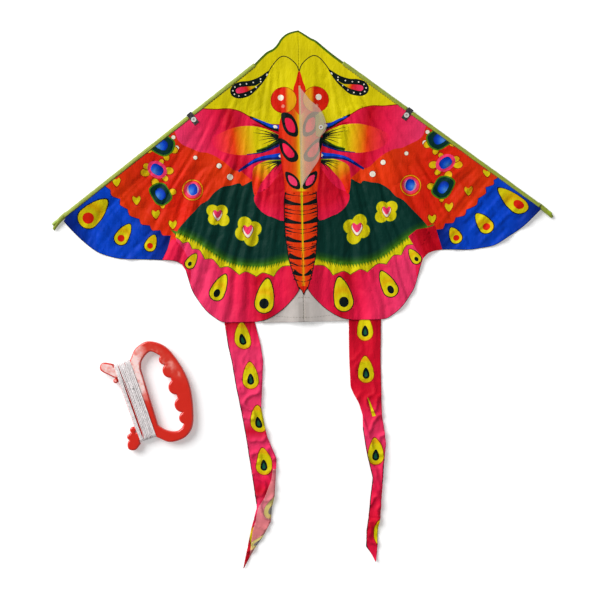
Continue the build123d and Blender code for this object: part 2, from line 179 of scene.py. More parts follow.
# ---------------------------------------------------------------- materials
class Nodes:
    """A short way to make a node material and link it up."""

    def __init__(self, name):
        self.material = bpy.data.materials.new(name)
        self.material.use_nodes = True
        self.tree = self.material.node_tree
        self.shader = self.tree.nodes["Principled BSDF"]

    def add(self, kind, inputs=None, **settings):
        node = self.tree.nodes.new(kind)
        for key, value in settings.items():
            setattr(node, key, value)
        for key, value in (inputs or {}).items():
            if hasattr(value, "is_output"):
                self.tree.links.new(value, node.inputs[key])
            else:
                node.inputs[key].default_value = value
        return node

    def set(self, **inputs):
        for key, value in inputs.items():
            key = key.replace("_", " ")
            if hasattr(value, "is_output"):
                self.tree.links.new(value, self.shader.inputs[key])
            else:
                self.shader.inputs[key].default_value = value

    def ramp(self, factor, *stops):
        node = self.add("ShaderNodeValToRGB", {"Fac": factor})
        elements = node.color_ramp.elements
        while len(elements) < len(stops):
            elements.new(0.5)
        for element, (position, value) in zip(elements, stops):
            element.position = position
            element.color = value if len(value) == 4 else (*value, 1)
        return node.outputs["Color"]

    def noise(self, scale, detail=3.0, roughness=0.55, stretch=None):
        vector = self.add("ShaderNodeTexCoord").outputs["Object"]
        if stretch:
            vector = self.add("ShaderNodeMapping", {"Vector": vector, "Scale": stretch}).outputs["Vector"]
        return self.add("ShaderNodeTexNoise", {"Vector": vector, "Scale": scale, "Detail": detail,
                                               "Roughness": roughness}).outputs["Fac"]

    def weave(self, pitch):
        """A plain weave of threads that far apart, in metres."""
        vector = self.add("ShaderNodeTexCoord").outputs["Object"]
        waves = [self.add("ShaderNodeTexWave", {"Vector": vector, "Scale": 0.1 / pitch,
                                                "Distortion": 0.6, "Detail": 1.0}, bands_direction=axis)
                 for axis in ("X", "Y")]
        return self.add("ShaderNodeMath", {0: waves[0].outputs["Fac"], 1: waves[1].outputs["Fac"]},
                        operation="ADD").outputs["Value"]

    def bump(self, height, strength, distance):
        node = self.add("ShaderNodeBump", {"Height": height, "Strength": strength, "Distance": distance})
        self.set(Normal=node.outputs["Normal"])


def mix_colours(nodes, factor, first, second, blend="MIX"):
    """A colour mix node, with its sockets chosen by place because its names repeat."""
    node = nodes.tree.nodes.new("ShaderNodeMix")
    node.data_type = "RGBA"
    node.blend_type = blend
    for index, value in ((0, factor), (6, first), (7, second)):
        if hasattr(value, "is_output"):
            nodes.tree.links.new(value, node.inputs[index])
        elif index:
            node.inputs[index].default_value = value if len(value) == 4 else (*value, 1)
        else:
            node.inputs[index].default_value = value
    return node.outputs[2]


def patchy(nodes, base, amount, scale, stretch=None):
    """A colour that is darker in soft patches."""
    shade = nodes.ramp(nodes.noise(scale, stretch=stretch), (0.3, (1 - amount,) * 3), (0.72, (1, 1, 1)))
    return mix_colours(nodes, 1.0, base, shade, "MULTIPLY")


def printed_satin(name, pale=0.0):
    """Satin polyester that wears the print held in the mesh's Print colours, which also carry a few marks of
    painted shade. The back of it is paler.
    """
    nodes = Nodes(name)
    base = nodes.add("ShaderNodeAttribute", attribute_name="PrintAndShade").outputs["Color"]
    if pale:
        base = mix_colours(nodes, pale, base, colour(236, 214, 210))
    base = patchy(nodes, base, 0.22, 16.0)
    base = patchy(nodes, base, 0.16, 75.0, stretch=(1, 0.3, 1))
    rough = nodes.add("ShaderNodeMapRange", {"Value": nodes.noise(60.0), "To Min": 0.42, "To Max": 0.6})
    nodes.set(Base_Color=base, Roughness=rough.outputs["Result"], Specular_IOR_Level=0.06)
    crumple = nodes.noise(70.0, detail=5.0, roughness=0.62, stretch=(1, 0.45, 1))
    soft = nodes.add("ShaderNodeBump", {"Height": crumple, "Strength": 0.55, "Distance": 0.0035})
    fine = nodes.add("ShaderNodeBump", {"Height": nodes.weave(0.0007), "Strength": 0.25,
                                        "Distance": 0.00015, "Normal": soft.outputs["Normal"]})
    nodes.set(Normal=fine.outputs["Normal"])
    return nodes.material


def plain_cloth(name, base, pitch=0.0007, strength=0.35):
    """Woven cloth of one colour."""
    nodes = Nodes(name)
    nodes.set(Base_Color=patchy(nodes, (*base, 1), 0.22, 55.0), Roughness=0.6, Sheen_Weight=0.2)
    nodes.bump(nodes.weave(pitch), strength, 0.0002)
    return nodes.material


def film(name, base, alpha, roughness=0.32):
    """Thin cloudy plastic that shows what is behind it."""
    nodes = Nodes(name)
    nodes.set(Base_Color=patchy(nodes, (*base, 1), 0.12, 60.0), Roughness=roughness, Alpha=alpha)
    nodes.bump(nodes.noise(160.0, detail=4.0), 0.25, 0.0004)
    return nodes.material


def plastic(name, base, roughness):
    nodes = Nodes(name)
    nodes.set(Base_Color=patchy(nodes, (*base, 1), 0.1, 120.0), Roughness=roughness)
    nodes.bump(nodes.noise(420.0, detail=4.0), 0.12, 0.0002)
    return nodes.material


def rod_material():
    """Pultruded glass fibre: pale, with fine streaks along it."""
    nodes = Nodes("glass fibre rod")
    streaks = nodes.noise(500.0, stretch=(0.05, 0.05, 1.0))
    base = nodes.ramp(streaks, (0.35, colour(196, 190, 160)), (0.65, colour(228, 222, 196)))
    nodes.set(Base_Color=base, Roughness=0.38)
    nodes.bump(streaks, 0.15, 0.0002)
    return nodes.material


def metal(name, base):
    nodes = Nodes(name)
    base = patchy(nodes, (*base, 1), 0.25, 700.0)
    rough = nodes.add("ShaderNodeMapRange", {"Value": nodes.noise(900.0), "To Min": 0.28, "To Max": 0.45})
    nodes.set(Base_Color=base, Metallic=0.55, Roughness=rough.outputs["Result"])
    return nodes.material


def line_material():
    """Pale twisted line, lighter and darker from strand to strand."""
    nodes = Nodes("line")
    base = patchy(nodes, (*colour(255, 248, 248), 1), 0.3, 700.0, stretch=(1, 0.4, 1))
    nodes.set(Base_Color=patchy(nodes, base, 0.14, 130.0), Roughness=0.6)
    nodes.bump(nodes.noise(1500.0), 0.3, 0.0002)
    return nodes.material


def winder_material():
    """Red translucent moulding, pale and pinkish where the mesh says that it is thin or has a painted
    highlight.
    """
    nodes = Nodes("red moulding")
    # the Thin values hold the thin parts and also a painted highlight patch on the grip
    thin = nodes.add("ShaderNodeAttribute", attribute_name="Thin").outputs["Fac"]
    cloud = nodes.add("ShaderNodeMapRange", {"Value": nodes.noise(110.0, detail=4.0), "From Min": 0.3,
                                             "From Max": 0.7,
                                             "To Min": 0.55, "To Max": 1.15}).outputs["Result"]
    share = nodes.add("ShaderNodeMath", {0: thin, 1: cloud}, operation="MULTIPLY").outputs["Value"]
    base = nodes.ramp(share, (0.0, colour(200, 26, 2)), (0.2, colour(202, 52, 36)),
                      (0.45, colour(222, 124, 114)), (0.8, colour(238, 206, 202)))
    nodes.set(Base_Color=base, Roughness=0.3, Coat_Weight=0.25, Coat_Roughness=0.15)
    nodes.set(Subsurface_Weight=0.1, Subsurface_Scale=0.004)
    nodes.bump(nodes.noise(90.0), 0.15, 0.0008)
    return nodes.material


# ---------------------------------------------------------------- drawing in the plane, in millimetres
def smooth(points, steps=6, closed=False):
    """A smooth curve through the points."""
    points = [tuple(p) for p in points]
    if closed:
        ends = [points[-1], *points, points[0], points[1]]
    else:
        first = (2 * points[0][0] - points[1][0], 2 * points[0][1] - points[1][1])
        last = (2 * points[-1][0] - points[-2][0], 2 * points[-1][1] - points[-2][1])
        ends = [first, *points, last]
    out = []
    for a, b, c, d in zip(ends, ends[1:], ends[2:], ends[3:]):
        for i in range(steps):
            t = i / steps
            out.append(tuple(
                0.5 * (2 * b[k] + (c[k] - a[k]) * t + (2 * a[k] - 5 * b[k] + 4 * c[k] - d[k]) * t * t
                       + (3 * b[k] - a[k] - 3 * c[k] + d[k]) * t ** 3) for k in (0, 1)))
    return out if closed else out + [points[-1]]


def oval(x, y, rx, ry=None, turn=0.0, steps=22):
    """A circle, or an ellipse turned by so many degrees."""
    ry = ry or rx
    c, s = cos(radians(turn)), sin(radians(turn))
    ring = [(rx * cos(2 * pi * i / steps), ry * sin(2 * pi * i / steps)) for i in range(steps)]
    return [(x + a * c - b * s, y + a * s + b * c) for a, b in ring]


def drop(tip, centre, r, steps=20):
    """A teardrop: a round end about the centre, drawn out to the tip with slightly full sides."""
    dx, dy = tip[0] - centre[0], tip[1] - centre[1]
    length = hypot(dx, dy)
    ux, uy = dx / length, dy / length
    out = []
    for i in range(steps):
        a = 2 * pi * i / steps
        along = cos(a)
        reach = r * along if along < 0 else length * along
        wide = r * sin(a) * (1 - 0.30 * max(along, 0) ** 2)
        out.append((centre[0] + reach * ux - wide * uy, centre[1] + reach * uy + wide * ux))
    return out


def arcs(cusps, bulge, steps=6):
    """Scallops: bowed lines from cusp to cusp. A positive bulge leans to the left of the way they run."""
    out = []
    for (ax, ay), (bx, by) in zip(cusps, cusps[1:]):
        for i in range(steps):
            t = i / steps
            lean = bulge * sin(pi * t) * (1 + 0.25 * sin(2 * pi * t))
            length = hypot(bx - ax, by - ay)
            out.append((ax + (bx - ax) * t - (by - ay) / length * lean,
                        ay + (by - ay) * t + (bx - ax) / length * lean))
    return out + [cusps[-1]]


def band(line, wide, wide_end=None):
    """A line thickened into an outline, with a width at each end."""
    wide_end = wide if wide_end is None else wide_end
    count = len(line)
    left, right = [], []
    for i, (x, y) in enumerate(line):
        before = line[max(i - 1, 0)]
        after = line[min(i + 1, count - 1)]
        dx, dy = after[0] - before[0], after[1] - before[1]
        length = hypot(dx, dy) or 1.0
        half = 0.5 * (wide + (wide_end - wide) * i / (count - 1))
        left.append((x - dy / length * half, y + dx / length * half))
        right.append((x + dy / length * half, y - dx / length * half))
    return left + right[::-1]


def dense(outline, longest, closed=True):
    """The same outline or line, with points on it no further apart than about the longest step."""
    out = []
    pairs = zip(outline, outline[1:] + outline[:1] if closed else outline[1:])
    for (ax, ay), (bx, by) in pairs:
        parts = max(1, round(hypot(bx - ax, by - ay) / longest))
        out += [(ax + (bx - ax) * i / parts, ay + (by - ay) * i / parts) for i in range(parts)]
    return out if closed else out + [outline[-1]]


def inside(points, outline):
    """Which points of an array lie inside an outline."""
    x, y = points[:, 0], points[:, 1]
    result = np.zeros(len(points), bool)
    for (ax, ay), (bx, by) in zip(outline, outline[1:] + outline[:1]):
        if ay == by:
            continue
        crosses = (ay > y) != (by > y)
        result ^= crosses & (x < (bx - ax) * (y - ay) / (by - ay) + ax)
    return result


def distance_to(points, line):
    """How far each point of an array lies from a line of points."""
    best = np.full(len(points), 1e9)
    for a, b in zip(np.array(line[:-1], float), np.array(line[1:], float)):
        d = b - a
        t = np.clip(((points - a) @ d) / max(d @ d, 1e-9), 0, 1)
        best = np.minimum(best, np.linalg.norm(points - a - t[:, None] * d, axis=1))
    return best


# ---------------------------------------------------------------- paints: colours that vary over the cloth
# A paint is a function that gives the colours of an array of points.
def flat(value):
    """One colour all over."""
    return lambda points: np.tile(np.array(value), (len(points), 1))


def spread(distances, stops):
    """Colours blended between stops, each a distance and its colour."""
    places = [s[0] for s in stops]
    return np.stack([np.interp(distances, places, [s[1][k] for s in stops]) for k in range(3)], axis=1)


def across(start, end, *stops):
    """Colours along the line from start to end, at shares of its length."""
    a = np.array(start, float)
    d = np.array(end, float) - a
    return lambda points: spread(((points - a) @ d) / (d @ d), stops)


def around(centre, *stops):
    """Colours at distances from a point."""
    return lambda points: spread(np.linalg.norm(points - np.array(centre, float), axis=1), stops)


def beside(line, *stops):
    """Colours at distances from a line."""
    return lambda points: spread(distance_to(points, line), stops)


# ---------------------------------------------------------------- the print, drawn for the right half
YELLOW_EDGE = smooth([(-2, 246), (29, 246.5), (43, 247.5), (58, 252.5), (70, 258), (84, 266), (100, 270),
                      (120, 269.5), (152, 272)])
PINK_EDGE = smooth([(182, 249), (175.5, 238), (172, 228), (165, 221), (153, 215.5), (142, 210.5),
                    (131, 209), (118, 203), (105, 193.5), (95, 184.5), (84, 182)])
GREEN_TOP = smooth([(64, 149), (67, 167.5), (77, 164.5), (83, 162), (87, 165.5), (98, 163), (110, 161),
                    (122, 153.5), (132, 142.5), (142, 137), (152, 126.5), (165, 113), (175, 101),
                    (178, 91)])
BLUE_CUSPS = [(279, 178), (268, 160), (255, 147), (245, 132.5), (229, 118.5), (214.5, 109), (200, 102),
              (185, 94)]
BLUE_EDGE = arcs(BLUE_CUSPS, 4.6) + [(187, 85), (190, 75), (198, 60)]
SCALLOP_CUSPS = [(168, 83), (155.5, 74.5), (138, 60), (117, 47.5), (90, 37), (66, 34), (41.5, 33.5)]
GREEN_LOW = [(178, 91), (173, 88.5)] + arcs(SCALLOP_CUSPS,
                                            -5.2) + smooth([(37, 41), (29, 47.5), (19, 48.5)])
# where the dark green of the hindwing ends and its yellow edge begins
GREEN_FADE = smooth([(186, 103), (168, 96), (150, 87), (128, 71), (106, 57), (82, 50.5), (58, 49.5),
                     (40, 53), (18, 58)])


def eyespot(tip, centre, r, pupil, pupil_r, pupil_tall=None):
    """A yellow teardrop with a dark rim and a round pupil."""
    dx, dy = tip[0] - centre[0], tip[1] - centre[1]
    far = (tip[0] + dx * 0.06, tip[1] + dy * 0.06)
    turn = atan2(dy, dx) * 180 / pi
    yellow = around(centre, (0, LEMON), (r * 0.8, LEMON), (r * 1.25, AMBER), (r * 2, LEMON))
    return [(drop(far, centre, r + 1.4), flat(DARK)),
            (drop(tip, centre, r), yellow),
            (oval(*centre, pupil_tall or pupil_r, pupil_r, turn), flat(pupil))]


def heart(x, y, size):
    """A heart with its point down."""
    outline = [(x, y - size), (x - 0.8 * size, y + 0.1 * size), (x - 0.62 * size, y + 0.85 * size),
               (x, y + 0.45 * size), (x + 0.62 * size, y + 0.85 * size), (x + 0.8 * size, y + 0.1 * size)]
    return smooth(outline, 4, closed=True)


def flower(x, y, size, turn):
    """Broad yellow petals edged in green, round a rose heart with a white lower edge."""
    shapes = []
    for grown, tint in ((1.07, LEAF), (1.0, LEMON)):
        for i, (reach, wide) in enumerate(((0.52, 0.56), (0.46, 0.50), (0.56, 0.54), (0.48, 0.46))):
            a = radians(turn + 92 * i)
            shapes.append((oval(x + size * reach * cos(a), y + size * reach * sin(a), size * wide * grown,
                                size * 0.50 * grown, turn + 90 * i), flat(tint)))
    for lift, share, tint in ((-0.02, 0.50, RUST), (-0.02, 0.44, WHITE), (0.12, 0.38, ROSE)):
        shapes.append((heart(x + size * 0.03, y + size * lift, size * share), flat(tint)))
    return shapes


def shrunk(points, scale):
    """An outline drawn in about its middle."""
    cx = sum(p[0] for p in points) / len(points)
    cy = sum(p[1] for p in points) / len(points)
    return [(cx + (x - cx) * scale, cy + (y - cy) * scale) for x, y in points]


def leaf_loop(points, fill):
    """A dark-green outlined leaf with a coloured middle."""
    return [(smooth(points, 5, closed=True), flat(DARK)),
            (smooth(shrunk(points, 0.60), 5, closed=True), flat(fill))]


def hairs(start, ends, wide):
    """Tapered strokes that fan out of a small stretch of the body."""
    return [(band(smooth([start, ((start[0] + x) / 2, (start[1] + y) / 2 + 1.5), (x, y)], 3), wide, 0.25),
             flat(DARK)) for x, y in ends]


def placed(x, y, size, turn, points):
    """Points of a shape of unit size, turned, scaled and moved."""
    c, s = cos(radians(turn)), sin(radians(turn))
    return [(x + size * (a * c - b * s), y + size * (a * s + b * c)) for a, b in points]


def blue_spot(x, y, size, turn):
    """A tilted square of blue with round corners and a pale glint on one side."""
    corners = [(1, 0.45), (0.45, 0.78), (-0.5, 0.75), (-1, 0.35), (-1, -0.45), (-0.45, -0.78), (0.5, -0.75),
               (1, -0.35)]
    square = smooth(placed(x, y, size, turn, corners), 3, closed=True)
    return [(square, around((x + size * 0.45, y - size * 0.35), (0, SKY), (size * 0.45, AZURE),
                            (size * 0.9, BLUE), (size * 1.6, DEEP_BLUE)))]


def buds(x, y, size, *places):
    """Golden buds with rusty edges round an ornament: each has a bearing, a distance and a radius."""
    shapes = []
    for bearing, reach, r in places:
        a = radians(bearing)
        at = (x + size * reach * cos(a), y + size * reach * sin(a))
        shapes.append((oval(*at, size * r + 1.0, size * r * 0.8 + 1.0, bearing, 18), flat(RUST)))
        shapes.append((oval(*at, size * r, size * r * 0.8, bearing, 18),
                       around(at, (0, LEMON), (size * r, GOLD))))
    return shapes


def leafy_ornament(x, y, size, turn, *bud_places):
    """A dark leafy patch, feathered into yellow-green, with a lit blue spot."""
    shapes = buds(x, y, size, *bud_places)
    body = [(1.25, 0.2), (0.75, 0.95), (-0.3, 1.0), (-1.1, 0.8), (-1.3, -0.2), (-0.75, -0.95), (0.4, -1.0),
            (1.15, -0.75)]
    for grown, tint in ((1.14, LEAF), (1.0, GREEN)):
        shapes.append((smooth(placed(x, y, size * grown, turn, body), 4, closed=True), flat(tint)))
    return shapes + blue_spot(x, y, size * 0.70, turn)


def winged_ornament(x, y, size, turn):
    """A blue spot in a rose halo with golden petals on both sides."""
    shapes = buds(x, y, size, (-12, 1.75, 0.72), (18, 1.55, 0.55), (186, 1.75, 0.66), (228, 1.7, 0.5),
                  (120, 1.25, 0.45))
    shapes.append((oval(x, y, size * 1.5, size * 1.2, turn), flat(ROSE)))
    return shapes + blue_spot(x, y, size * 0.92, turn)


def ringed_ornament(x, y):
    """A blue spot with a rose halo and a golden ring."""
    rings = [(oval(x, y, r), flat(tint)) for r, tint in ((15.4, RUST), (14.8, GOLD), (13.6, ORANGE),
                                                         (11.6, ROSE))]
    return [*rings, (oval(x - 0.4, y + 0.4, 8.6), flat(MAUVE)), *blue_spot(x - 0.6, y + 0.8, 7.8, 75)]


WHITE_DOTS = ((181, 243, 2.8), (178, 231.5, 2.8), (174, 216.5, 3.4), (148, 202.5, 2.8), (115, 190.5, 3.6),
              (100, 174.5, 4.2))
YELLOW_HEARTS = ((259, 171), (232, 145), (205.5, 125), (182, 110))
# tip, centre and radius of each teardrop, and the radius of its pupil: on the hindwing across and along it
FORE_DROPS = (((273, 146), (300, 121), 14.3, 8.0), ((242, 111.5), (255, 92), 9.4, 5.0),
              ((207.5, 95.5), (214.5, 80.5), 7.8, 4.2))
HIND_DROPS = (((149.5, 68), (159, 54), 6.6, 2.6, 3.4), ((109, 38), (122, 12), 10.2, 4.4, 6.0),
              ((50, 31), (56, -4), 13.0, 6.8, 7.4))


def forewing_print():
    """Yellow shoulder, rose and orange field with its ornaments, and the blue corner with its teardrops."""
    shapes = [([(-2, 190), (-2, 246), *YELLOW_EDGE[1:], (380, 272), (380, -60), (-2, -60)],
               across((20, 250), (170, 225), (0, CRIMSON), (0.35, PINK), (0.5, CRIMSON), (0.66, PINK),
                      (1, ROSE)))]
    shapes.append(([(-2, 246), *YELLOW_EDGE[1:], (152, 400), (-2, 400)], flat(YELLOW)))
    shapes.append((band(YELLOW_EDGE[4:], 1.4), flat(RUST)))
    orange = PINK_EDGE + GREEN_TOP[6:] + [(168, 40), (380, 40), (380, 249)]
    shapes.append((orange, across((100, 190), (260, 120), (0, ORANGE), (0.5, RED), (1, ORANGE))))
    # below the notch the cloth is rose again, up to the yellow-edged hindwing
    shapes.append((smooth([(160, 20), (158, 45), (165, 70), (180, 89), (187, 84), (190, 75), (198, 60)]),
                   flat(PINK)))
    shapes.append((BLUE_EDGE + [(380, 60), (380, 178)],
                   across((195, 120), (330, 100), (0, DEEP_BLUE), (0.3, BLUE), (0.7, BLUE),
                          (1, DEEP_BLUE))))
    shapes.append((band(BLUE_EDGE[:-3], 1.0), flat(DEEP_BLUE)))
    for x, y, r in WHITE_DOTS:
        shapes.append((oval(x, y, r + 0.8, steps=14), flat(RUST)))
        shapes.append((oval(x, y, r, steps=14), flat(WHITE)))
    for x, y in YELLOW_HEARTS:
        shapes.append((heart(x, y - 0.4, 8.0), flat(RUST)))
        shapes.append((heart(x, y, 6.8), around((x, y), (0, LEMON), (4, LEMON), (7, GOLD))))
    shapes += leafy_ornament(195, 222, 12.6, 28, (250, 1.5, 0.40), (-22, 1.5, 0.46), (95, 1.4, 0.34),
                             (205, 1.5, 0.46))
    shapes += winged_ornament(202, 187, 9.6, 32)
    shapes += leafy_ornament(198, 153, 11.4, 58, (66, 1.5, 0.56), (172, 1.45, 0.5), (262, 1.45, 0.36))
    shapes += ringed_ornament(153, 157.5)
    for tip, centre, r, pupil_r in FORE_DROPS:
        shapes += eyespot(tip, centre, r, RED, pupil_r)
    return shapes


def hindwing_print():
    """Dark green that drips into a yellow edge, with flowers, teardrops, and the crimson lobe by the body."""
    under_lobe = [(-2, 118), (20, 118), (43, 119.5), (54, 125), (61, 132), (65, 140)]
    yellow = GREEN_TOP + GREEN_LOW + [(-2, 48.5)] + under_lobe
    shapes = [(yellow, beside(GREEN_FADE, (0, LEAF), (3.5, LEMON), (30, LEMON))),
              (GREEN_TOP[:-2] + GREEN_FADE + [(-2, 62)] + under_lobe,
               beside(GREEN_FADE, (0, LEAF), (4.5, PINE), (11, GREEN), (60, GREEN)))]
    rng = random.Random(8)
    for x, y in dense(GREEN_FADE, 4.4, closed=False)[2:-2]:
        drip = rng.uniform(3.5, 7.5)
        shapes.append((band([(x, y + 0.5), (x + 0.3 * drip, y - drip)], 2.4, 0.3),
                       across((x, y + 1), (x, y - drip), (0, FERN), (0.5, LEAF), (1, LEAF))))
    shapes.append((band(GREEN_LOW, 0.9), flat(MOSS)))
    shapes += flower(118, 121.5, 17.0, 40)
    shapes += flower(76, 98, 20.0, 66)
    for tip, centre, r, wide, tall in HIND_DROPS:
        shapes += eyespot(tip, centre, r, DARK, wide, tall)
    lobe = [(22, 186), (30, 181), (38, 168.5), (50, 156.5), (65, 149), (66.5, 140), (62, 131), (54, 123),
            (43, 117.5), (20, 116)]
    shapes.append((smooth(lobe, 4, closed=True), across((24, 170), (50, 118), (0, CRIMSON), (0.6, CHERRY),
                                                        (1, PINK))))
    return shapes


def flame_print():
    """The two flames beside the body, with the blue veins that edge them."""
    upper = smooth([(26, 229), (41, 237.5), (55, 243), (71, 245.5), (88, 244.5), (106, 239), (124, 229),
                    (120, 216), (104, 208), (86, 205), (72, 205.5), (57, 208), (43, 213), (26, 222)], 4,
                   closed=True)
    lower = smooth([(26, 196), (36, 189), (46, 178), (57, 164), (65, 147), (69, 163), (68.5, 178),
                    (66, 187), (56, 193.5), (42, 197.5)], 4, closed=True)
    green_line = smooth([(62, 209.5), (46, 213.5), (27, 222.5)])
    shapes = [(upper, across((28, 230), (124, 222), (0, LEAF), (0.12, YELLOW), (0.36, YELLOW), (0.52, GOLD),
                             (0.68, ORANGE), (1, PINK))),
              (lower, across((30, 196), (66, 156), (0, LEAF), (0.18, YELLOW), (0.4, GOLD), (0.75, ORANGE),
                             (1, RED)))]
    for wide, wide_end, tint in ((4.0, 10.0, LEAF), (2.2, 7.0, SHADED_LEAF), (1.0, 4.4, DARK)):
        shapes.append((band(green_line, wide, wide_end), flat(tint)))
    veins = (([(28, 218.5), (43, 212), (57, 207.5), (76, 205.5)], 3.4, 1.0, DEEP_BLUE),
             ([(27, 234), (45, 241.5), (68, 248)], 5.4, 1.4, CRIMSON),
             ([(25, 239.5), (40, 243.0), (53, 249), (70, 258)], 9.0, 3.2, DARK),
             ([(29, 243), (41, 245), (53, 250.5), (66, 256)], 5.6, 1.8, BLUE),
             ([(24, 203), (35, 201.5), (48, 200.5), (63, 197), (75, 190.5), (88, 182)], 10.0, 3.0,
              DEEP_BLUE),
             ([(26, 204.5), (36, 203), (48, 202), (62, 198.5), (74, 192)], 5.4, 1.8, BLUE))
    for line, wide, wide_end, tint in veins:
        shapes.append((band(smooth(line), wide, wide_end), flat(tint)))
    shapes.append((oval(35, 243.5, 3.2, 2.2, 20), flat(WHITE)))
    shapes.append((oval(28, 202.5, 3.2, 2.2, 0), flat(WHITE)))
    shapes += hairs((26, 227), [(44, 237), (51, 234), (57, 230), (58, 225), (54, 219), (48, 214), (62, 241),
                                (66, 236), (40, 210)], 2.6)
    shapes += hairs((27, 194), [(46, 193), (53, 189), (51, 183), (45, 179), (38, 180), (58, 192)], 2.4)
    return shapes


def body_print():
    """Head, antennae, thorax and banded abdomen."""
    shapes = [(band(smooth([(0, 320), (3.5, 329), (11, 337), (19, 341.5), (25, 341), (30, 337.5),
                            (36.5, 330), (44, 319)]), 1.3), flat(DARK))]
    club = [(41, 322.5), (56, 313.5), (70, 308.5), (82, 307.5), (92, 303.5), (97, 296), (95, 288),
            (86, 284), (71, 287), (60, 296), (50, 307)]
    shapes.append((smooth(club, 4, closed=True), flat(DARK)))
    inner = [(53, 306.5), (62, 301.5), (74, 300.5), (86, 299), (89.5, 295), (86, 291), (74, 293.5),
             (63, 299)]
    shapes.append((smooth(inner, 4, closed=True), across((56, 306), (88, 293), (0, YELLOW), (0.3, YELLOW),
                                                         (0.55, RED), (1, ROSE))))
    dotted = smooth([(45, 317), (58, 308.5), (71, 304.5), (83, 303.5), (92, 298.5), (92.5, 291.5),
                     (85, 287.5), (73, 290), (63, 297), (54, 307)], 4, closed=True)
    for i, (x, y) in enumerate(dotted):
        if i % 3 == 0:
            shapes.append((oval(x, y, 1.05, steps=8), flat(WHITE)))
    thorax = [(-2, 300), (3, 297), (8, 290), (11, 270), (19, 265), (27, 256), (30, 242), (30.5, 222),
              (29, 205), (27, 190), (24, 165), (24, 150)]
    shapes.append((smooth(thorax, 4) + [(-2, 148)], across((0, 200), (30, 200), (0, YELLOW), (0.1, GOLD),
                                                            (0.24, FLAME), (0.5, ORANGE), (1, RED))))
    shapes.append((smooth([(-2, 322), (1.5, 319), (5, 306), (8.5, 296), (9.5, 280), (8, 268), (-2, 255)],
                          4),
                   across((0, 315), (0, 262), (0, RED), (0.55, RED), (1, ORANGE))))
    shapes.append((oval(22.5, 280.5, 18.6), flat(RUST)))
    shapes.append((oval(22.5, 280.5, 17.9), across((6, 280), (38, 280), (0, GOLD), (0.3, GOLD), (0.44, RED),
                                                   (1, RED))))
    shapes.append((oval(26.5, 284, 4.2, steps=16), flat(WHITE)))
    shapes.append((oval(23.5, 272, 2.4, steps=12), flat(BLUSH)))
    shapes += leaf_loop([(26, 262), (24.5, 244), (19, 233.5), (11, 229), (4.5, 229.5), (3, 238), (6, 250.5),
                         (14, 261)], PINK)
    shapes += leaf_loop([(30.5, 227), (22.6, 225), (11.6, 214.5), (4, 203.5), (5.5, 195), (15, 193.5),
                         (23.5, 201), (29, 213)], PINK)
    shapes += leaf_loop([(22, 180), (11, 176), (2.8, 166), (3.1, 155), (14.5, 158.5), (21, 168)], ROSE)
    abdomen = [(-2, 152), (22, 152), (24.5, 140), (25, 117), (24.5, 99), (23.5, 85), (21.5, 70), (19.5, 56),
               (15.5, 42), (9.5, 24), (6.5, 15), (-2, 14)]
    edge = smooth(abdomen[1:-1], 4)
    shapes.append(([abdomen[0], *edge, abdomen[-1]],
                   across((0, 80), (24, 80), (0, GOLD), (0.06, FLAME), (0.16, ORANGE), (0.7, ORANGE),
                          (1, RED))))
    shapes.append((band([(0, 150), (0, 66)], 3.0, 0.8), flat(YELLOW)))
    shapes.append((band(edge, 1.4), flat(DARK)))
    half_wide = {136: 24.5, 110: 24.8, 84: 23.3, 60: 20, 37: 14}
    for y, half in half_wide.items():
        shapes.append((band(smooth([(half, y + 3.2), (half * 0.55, y - 0.6), (1.5, y - 2.5)]), 7.4, 2.6),
                       flat(DARK)))
        for lift, reach, wide in ((11.5, 0.25, 1.2), (-9.5, 0.35, 1.2)):
            if y + lift > 26:
                shapes.append((band(smooth([(half * 0.97, y + 2.4 + lift), (half * 0.6, y - 0.2 + lift),
                                            (half * reach, y - 1.4 + lift)]), wide * 1.9, 0.4), flat(DARK)))
                shapes.append((band([(0.8, y - 2.2 + lift), (half * 0.34, y - 1.2 + lift)], wide, 0.3),
                               flat(DARK)))
    for y in range(32, 146, 5):
        half = 24 if y > 90 else 9 + 0.17 * y
        shapes.append((band([(half, y + 2), (half * 0.62, y)], 1.3, 0.3), flat(DARK)))
    shapes.append(([(-1, 20), (4, 19), (7.5, 16), (3, 13), (0, 5), (-1, 5)], flat(RED)))
    shapes.append((band([(6.5, 18), (5.4, 15.2), (3, 13.2), (0, 6.2)], 2.2), flat(DARK)))
    return shapes


# ---------------------------------------------------------------- making meshes
def new_piece(name, vertices, faces, *materials):
    """A smooth mesh in the scene."""
    mesh = bpy.data.meshes.new(name)
    mesh.from_pydata(vertices, [], faces)
    mesh.shade_smooth()
    for material in materials:
        mesh.materials.append(material)
    return linked(name, mesh)


def thicken(piece, thickness):
    """Gives a sheet its thickness. A second material goes on the back of it."""
    solid = piece.modifiers.new("thickness", "SOLIDIFY")
    solid.thickness = thickness * MM
    solid.offset = 0
    solid.material_offset = 1 if len(piece.data.materials) > 1 else 0
    graph = bpy.context.evaluated_depsgraph_get()
    done = bpy.data.meshes.new_from_object(piece.evaluated_get(graph), preserve_all_data_layers=True,
                                           depsgraph=graph)
    piece.modifiers.clear()
    piece.data = done


def between_rows(rows, count):
    """Faces between neighbouring rows of so many points each."""
    starts = [k * count + i for k in range(1, rows) for i in range(1, count)]
    return [(at - 1, at, at - count, at - count - 1) for at in starts]


def triangulated(loops, grid):
    """A flat mesh with every loop as edges, and the grid's points: its points, faces and their middles."""
    corners, edges = [], []
    for loop in loops:
        first = len(corners)
        corners += [Vector(p) for p in loop]
        edges += [(first + i, first + (i + 1) % len(loop)) for i in range(len(loop))]
    corners += [Vector(p) for p in grid]
    points, _, faces, *_ = delaunay_2d_cdt(corners, edges, [], 0, 1e-3)
    points = np.array([tuple(p) for p in points])
    faces = np.array([f for f in faces if len(f) == 3])
    return points, faces, points[faces].mean(axis=1)


def used_only(points, faces):
    """The points that the faces use, and the faces numbered anew."""
    used, back = np.unique(faces, return_inverse=True)
    return points[used], back.reshape(-1, 3)


